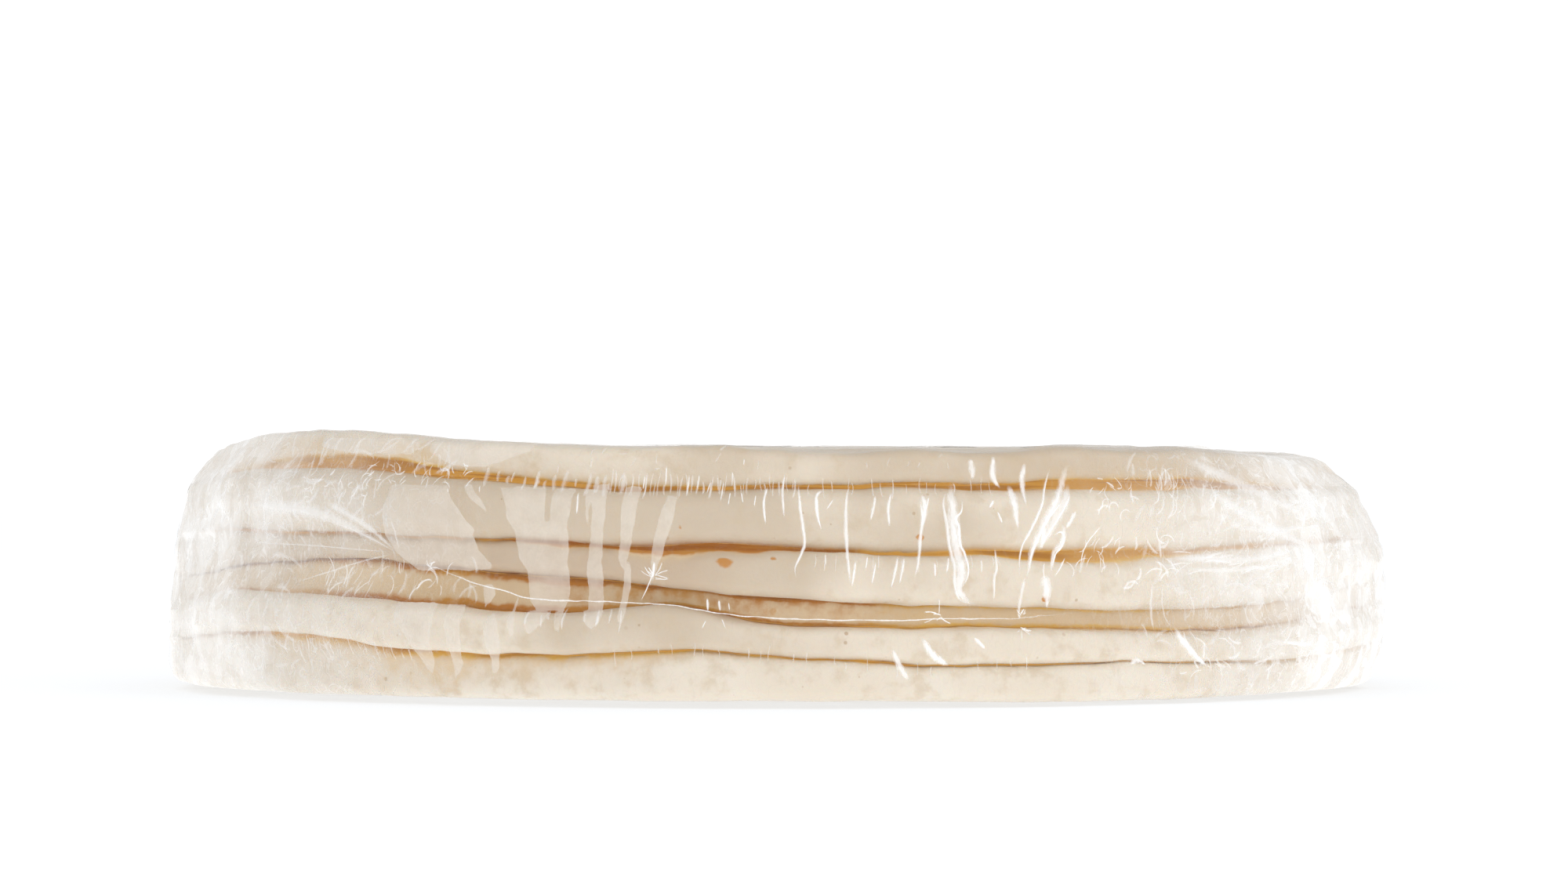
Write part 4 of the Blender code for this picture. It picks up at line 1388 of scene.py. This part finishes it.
# Sheets: widths at their two ends, then (across, up) along them.
SHEETS = (
    (2.0, 6.0, (-89.2, 34.7), (-97.5, 39.4), (-105.1, 43.0), (-113.0, 44.8), (-126.0, 45.6)),
    (1.2, 3.4, (-89.2, 34.7), (-94.0, 39.6), (-100.0, 43.6), (-106.0, 46.6)),
    (0.5, 0.4, (-89.2, 34.7), (-95.0, 37.9), (-101.0, 40.5), (-108.0, 42.8)),
    (0.8, 0.5, (-89.0, 34.8), (-97.5, 32.8), (-105.1, 30.2), (-109.9, 28.6), (-113.9, 27.0)),
    (0.5, 0.4, (-89.5, 34.9), (-98.5, 35.4), (-110.0, 36.2), (-125.0, 36.6)),
    (0.8, 0.6, (-88.8, 42.8), (-88.3, 39.0), (-88.3, 35.2)),
    (1.2, 1.0, (87.1, 28.4), (86.9, 22.0), (87.1, 16.6)),
    (0.7, 0.6, (89.4, 27.0), (89.8, 21.0), (91.4, 17.6)),
    (1.4, 0.8, (72.0, 35.0), (69.4, 29.9)),
    (3.6, 2.2, (90.0, 33.6), (101.0, 33.3), (112.0, 33.0), (124.0, 35.4)),
    (2.4, 1.6, (94.0, 31.0), (108.0, 30.6), (121.0, 31.8)),
    (5.0, 3.0, (100.0, 50.0), (110.0, 44.0), (120.0, 38.6), (129.0, 35.0)),
    (4.6, 3.0, (98.0, 57.0), (108.0, 52.0), (119.0, 46.5), (128.0, 43.0)),
    (3.2, 2.0, (108.0, 40.5), (118.0, 39.6), (128.0, 40.5)),
    (2.6, 1.8, (111.5, 11.6), (117.0, 13.6), (126.0, 12.6)),
)
# Crushed patches: from and to round the pack, from and to up, number of creases, their lengths,
# their width, the direction they run in from upright with its spread, and their curl in degrees
# per mm. The first stand out bright, by a stronger painted highlight and glow, where the film is
# drawn over a gap. The others are soft.
BRIGHT_PATCHES = (
    ((77.0, 90.0), (47.5, 52.5), 14, (2.0, 4.5), 0.5, 10.0, 50.0, 20.0),
    ((78.0, 86.0), (43.0, 48.0), 6, (4.0, 7.0), 0.6, 20.0, 60.0, 40.0),
    ((95.0, 119.0), (44.5, 52.5), 18, (5.0, 9.0), 0.7, 35.0, 12.0, -16.0),
    ((71.0, 86.0), (31.0, 38.0), 16, (3.0, 6.0), 0.5, 35.0, 25.0, 22.0),
    ((86.0, 100.0), (27.0, 39.0), 16, (3.0, 7.0), 0.8, 30.0, 50.0, 18.0),
    ((100.0, 130.0), (30.0, 35.0), 14, (5.0, 10.0), 0.7, 82.0, 12.0, 4.0),
    ((98.0, 120.0), (7.0, 15.0), 16, (3.0, 6.0), 0.75, -50.0, 35.0, 18.0),
    ((126.0, 150.0), (8.0, 15.0), 22, (3.0, 7.0), 0.6, 70.0, 20.0, 10.0),
    ((-127.0, -104.0), (46.5, 54.0), 24, (2.0, 5.0), 0.5, 20.0, 60.0, 20.0),
    ((-106.0, -74.0), (50.5, 55.0), 40, (2.0, 4.5), 0.5, 0.0, 60.0, 28.0),
    ((-118.0, -74.0), (26.0, 32.5), 26, (3.0, 6.5), 0.5, 15.0, 22.0, 18.0),
)
SOFT_PATCHES = (
    ((118.0, 172.0), (27.0, 50.0), 50, (6.0, 13.0), 1.5, 65.0, 25.0, 5.0),
    ((88.0, 185.0), (8.0, 58.0), 80, (3.0, 9.0), 1.3, 40.0, 55.0, 12.0),
    ((95.0, 160.0), (50.0, 60.0), 26, (4.0, 10.0), 1.4, 50.0, 30.0, 7.0),
    ((-157.0, -118.0), (36.0, 42.0), 26, (2.0, 5.0), 0.8, -30.0, 40.0, 20.0),
    ((-118.0, -72.0), (25.5, 33.0), 18, (3.0, 7.0), 1.0, 15.0, 25.0, 16.0),
    ((-160.0, -128.0), (28.0, 36.0), 18, (2.0, 5.0), 0.8, 0.0, 40.0, 15.0),
    ((-150.0, -95.0), (8.0, 20.0), 26, (2.0, 6.0), 0.8, 0.0, 25.0, 5.0),
    ((-130.0, -95.0), (42.0, 52.0), 30, (3.0, 8.0), 1.1, 60.0, 30.0, 10.0),
    ((-125.0, -80.0), (54.0, 61.0), 22, (4.0, 10.0), 1.1, 30.0, 30.0, 8.0),
    ((-185.0, -125.0), (8.0, 56.0), 60, (4.0, 10.0), 1.3, 60.0, 45.0, 8.0),
    ((-60.0, 60.0), (54.0, 60.0), 26, (1.5, 3.0), 0.5, 20.0, 25.0, 8.0),
    ((185.0, 745.0), (6.0, 58.0), 260, (3.0, 11.0), 1.2, 20.0, 50.0, 10.0),
)
# The same for the creases on the top, without their places and with their width last.
TOP_CREASES = (170, (6.0, 26.0), 75.0, 35.0, 2.5, 0.8)
TOP_CREASE_REACH = 134.0
ABOVE = 80.0  # the height that they are laid down from
CREASE_HEIGHTS = (3.0, 61.0)
CREASE_SWELLING = np.array((0.6, 1.2, 1.0, 0.9, 0.6))  # its width at each of its points
ONE_WAY = 15.0  # creases with a smaller spread than this all curl the same way


def creases(random, count, lengths, direction, spread, curl):
    """Random curling lines, each with its middle at (0, 0)."""
    points = len(CREASE_SWELLING)
    for _ in range(count):
        length = random.uniform(*lengths)
        stops = np.linspace(-0.5, 0.5, points) * length
        bend = math.radians(curl * (1.0 if spread < ONE_WAY else random.choice((-1.0, 1.0))))
        bend *= random.uniform(0.4, 1.3)
        turns = math.radians(random.normal(direction, spread)) + bend * stops
        steps = length / (points - 1) * np.stack([np.sin(turns), np.cos(turns)], axis=-1)
        line = np.cumsum(steps, axis=0)
        yield line - line[points // 2]


# The creases and sheets are white partly as painted highlight, with a painted glow.
crease = fold_finish("crease", strength=0.34, glow=0.06)
bright_crease = fold_finish("bright_crease", strength=0.62, glow=0.14)
pressed_sheet = fold_finish("pressed_sheet", strength=0.5, glow=0.1)
make_folds("film_sheets", paths_on_front(SHEETS), folds_along_paths, pressed_sheet, Ridge=0.2)

random = np.random.default_rng(7)
for name, patches, finish in (
    ("film_creases", SOFT_PATCHES, crease),
    ("film_bright_creases", BRIGHT_PATCHES, bright_crease),
):
    paths = []
    for arcs, ups, count, lengths, width, direction, spread, curl in patches:
        for line in creases(random, count, lengths, direction, spread, curl):
            line = line + (random.uniform(*arcs), random.uniform(*ups))
            swelling = width * random.uniform(0.5, 1.5) * CREASE_SWELLING
            paths.append((outside(line[:, 0], np.clip(line[:, 1], *CREASE_HEIGHTS)), swelling))
    make_folds(name, paths, folds_along_paths, finish)

paths = []
*given, width = TOP_CREASES
for line in creases(random, *given):
    turn = random.uniform(0.0, math.tau)
    reach = TOP_CREASE_REACH * math.sqrt(random.uniform(0.0, 1.0))
    line = line + (reach * math.cos(turn), reach * math.sin(turn))
    line = line[np.hypot(*line.T) < TOP_CREASE_REACH]
    if len(line) > 2:
        points = np.column_stack([line, np.full(len(line), ABOVE)])
        paths.append((points, np.full(len(line), width * random.uniform(0.4, 1.6))))
make_folds("film_top_creases", paths, folds_along_paths, crease, **{"From Above": True})
bpy.data.objects.remove(skin_guide)

# ---------------------------------------------------------------------------------------------
# The studio: a plain white floor under soft, even white light that comes from all round, with two
# soft boxes in front, and a level camera before them. The floor glows, and its glow is dimmed near
# the pack as a painted contact shadow.
CAMERA_HEIGHT = 61.0
CAMERA_DISTANCE = 1700.0
CAMERA_ACROSS = 1.5
CAMERA_LENS = 158.5
FLOOR_SIZE = 8.0  # metres
SHADOW_REACH = 190.0
FLOOR_GLOW = (0.59, 0.78)  # in full shade, and in the open
WORLD_LIGHT = (0.63, 1.1)  # on the pack, and as the camera sees it

floor_mesh = bpy.data.meshes.new("floor")
half = FLOOR_SIZE / 2
corners = [(-half, -half, 0.0), (half, -half, 0.0), (half, half, 0.0), (-half, half, 0.0)]
floor_mesh.from_pydata(corners, [], [(0, 1, 2, 3)])
floor = placed("floor", floor_mesh)
finish, tree, shader, where = new_finish("white_floor")
# Painted shadow: the floor's glow is dimmed where the pack hides the floor from its surroundings.
shade = node(tree, "ShaderNodeAmbientOcclusion", {"Distance": SHADOW_REACH * MM}).outputs["AO"]
give(shader, {
    "Base Color": (0.38, 0.4, 0.43),
    "Roughness": 0.8,
    "Specular IOR Level": 0.0,
    "Emission Color": (0.98, 0.99, 1.0),
    "Emission Strength": evenly(shade, *FLOOR_GLOW),
})
floor_mesh.materials.append(finish)
floor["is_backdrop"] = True

world = bpy.data.worlds.new("studio")
world.use_nodes = True
tree = world.node_tree
seen_directly = node(tree, "ShaderNodeLightPath").outputs["Is Camera Ray"]
light = evenly(seen_directly, *WORLD_LIGHT)
give(tree.nodes["Background"], {"Color": (1.0, 1.0, 1.0), "Strength": light})
bpy.context.scene.world = world

PACK_MIDDLE = Vector((0.0, 0.0, 0.03))
SOFTBOXES = (  # name, place, size, energy
    ("key_light", (1.45, -1.6, 1.0), 1.1, 8.4),
    ("fill_light", (-1.4, -1.2, 0.9), 1.3, 1.6),
)
for name, place, size, energy in SOFTBOXES:
    light = bpy.data.lights.new(name, "AREA")
    light.shape = "SQUARE"
    light.size = size
    light.energy = energy
    lamp = placed(name, light)
    lamp.location = place
    lamp.rotation_euler = (PACK_MIDDLE - lamp.location).to_track_quat("-Z", "Y").to_euler()

camera = placed("camera", bpy.data.cameras.new("camera"))
camera.data.lens = CAMERA_LENS
camera.location = (CAMERA_ACROSS * MM, -CAMERA_DISTANCE * MM, CAMERA_HEIGHT * MM)
camera.rotation_euler = (math.pi / 2, 0.0, 0.0)
bpy.context.scene.camera = camera
bpy.context.scene.view_settings.view_transform = "Standard"

boxes = {"cad": cad_box, "visual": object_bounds()}
{name: [list(corner) for corner in box] for name, box in boxes.items()}
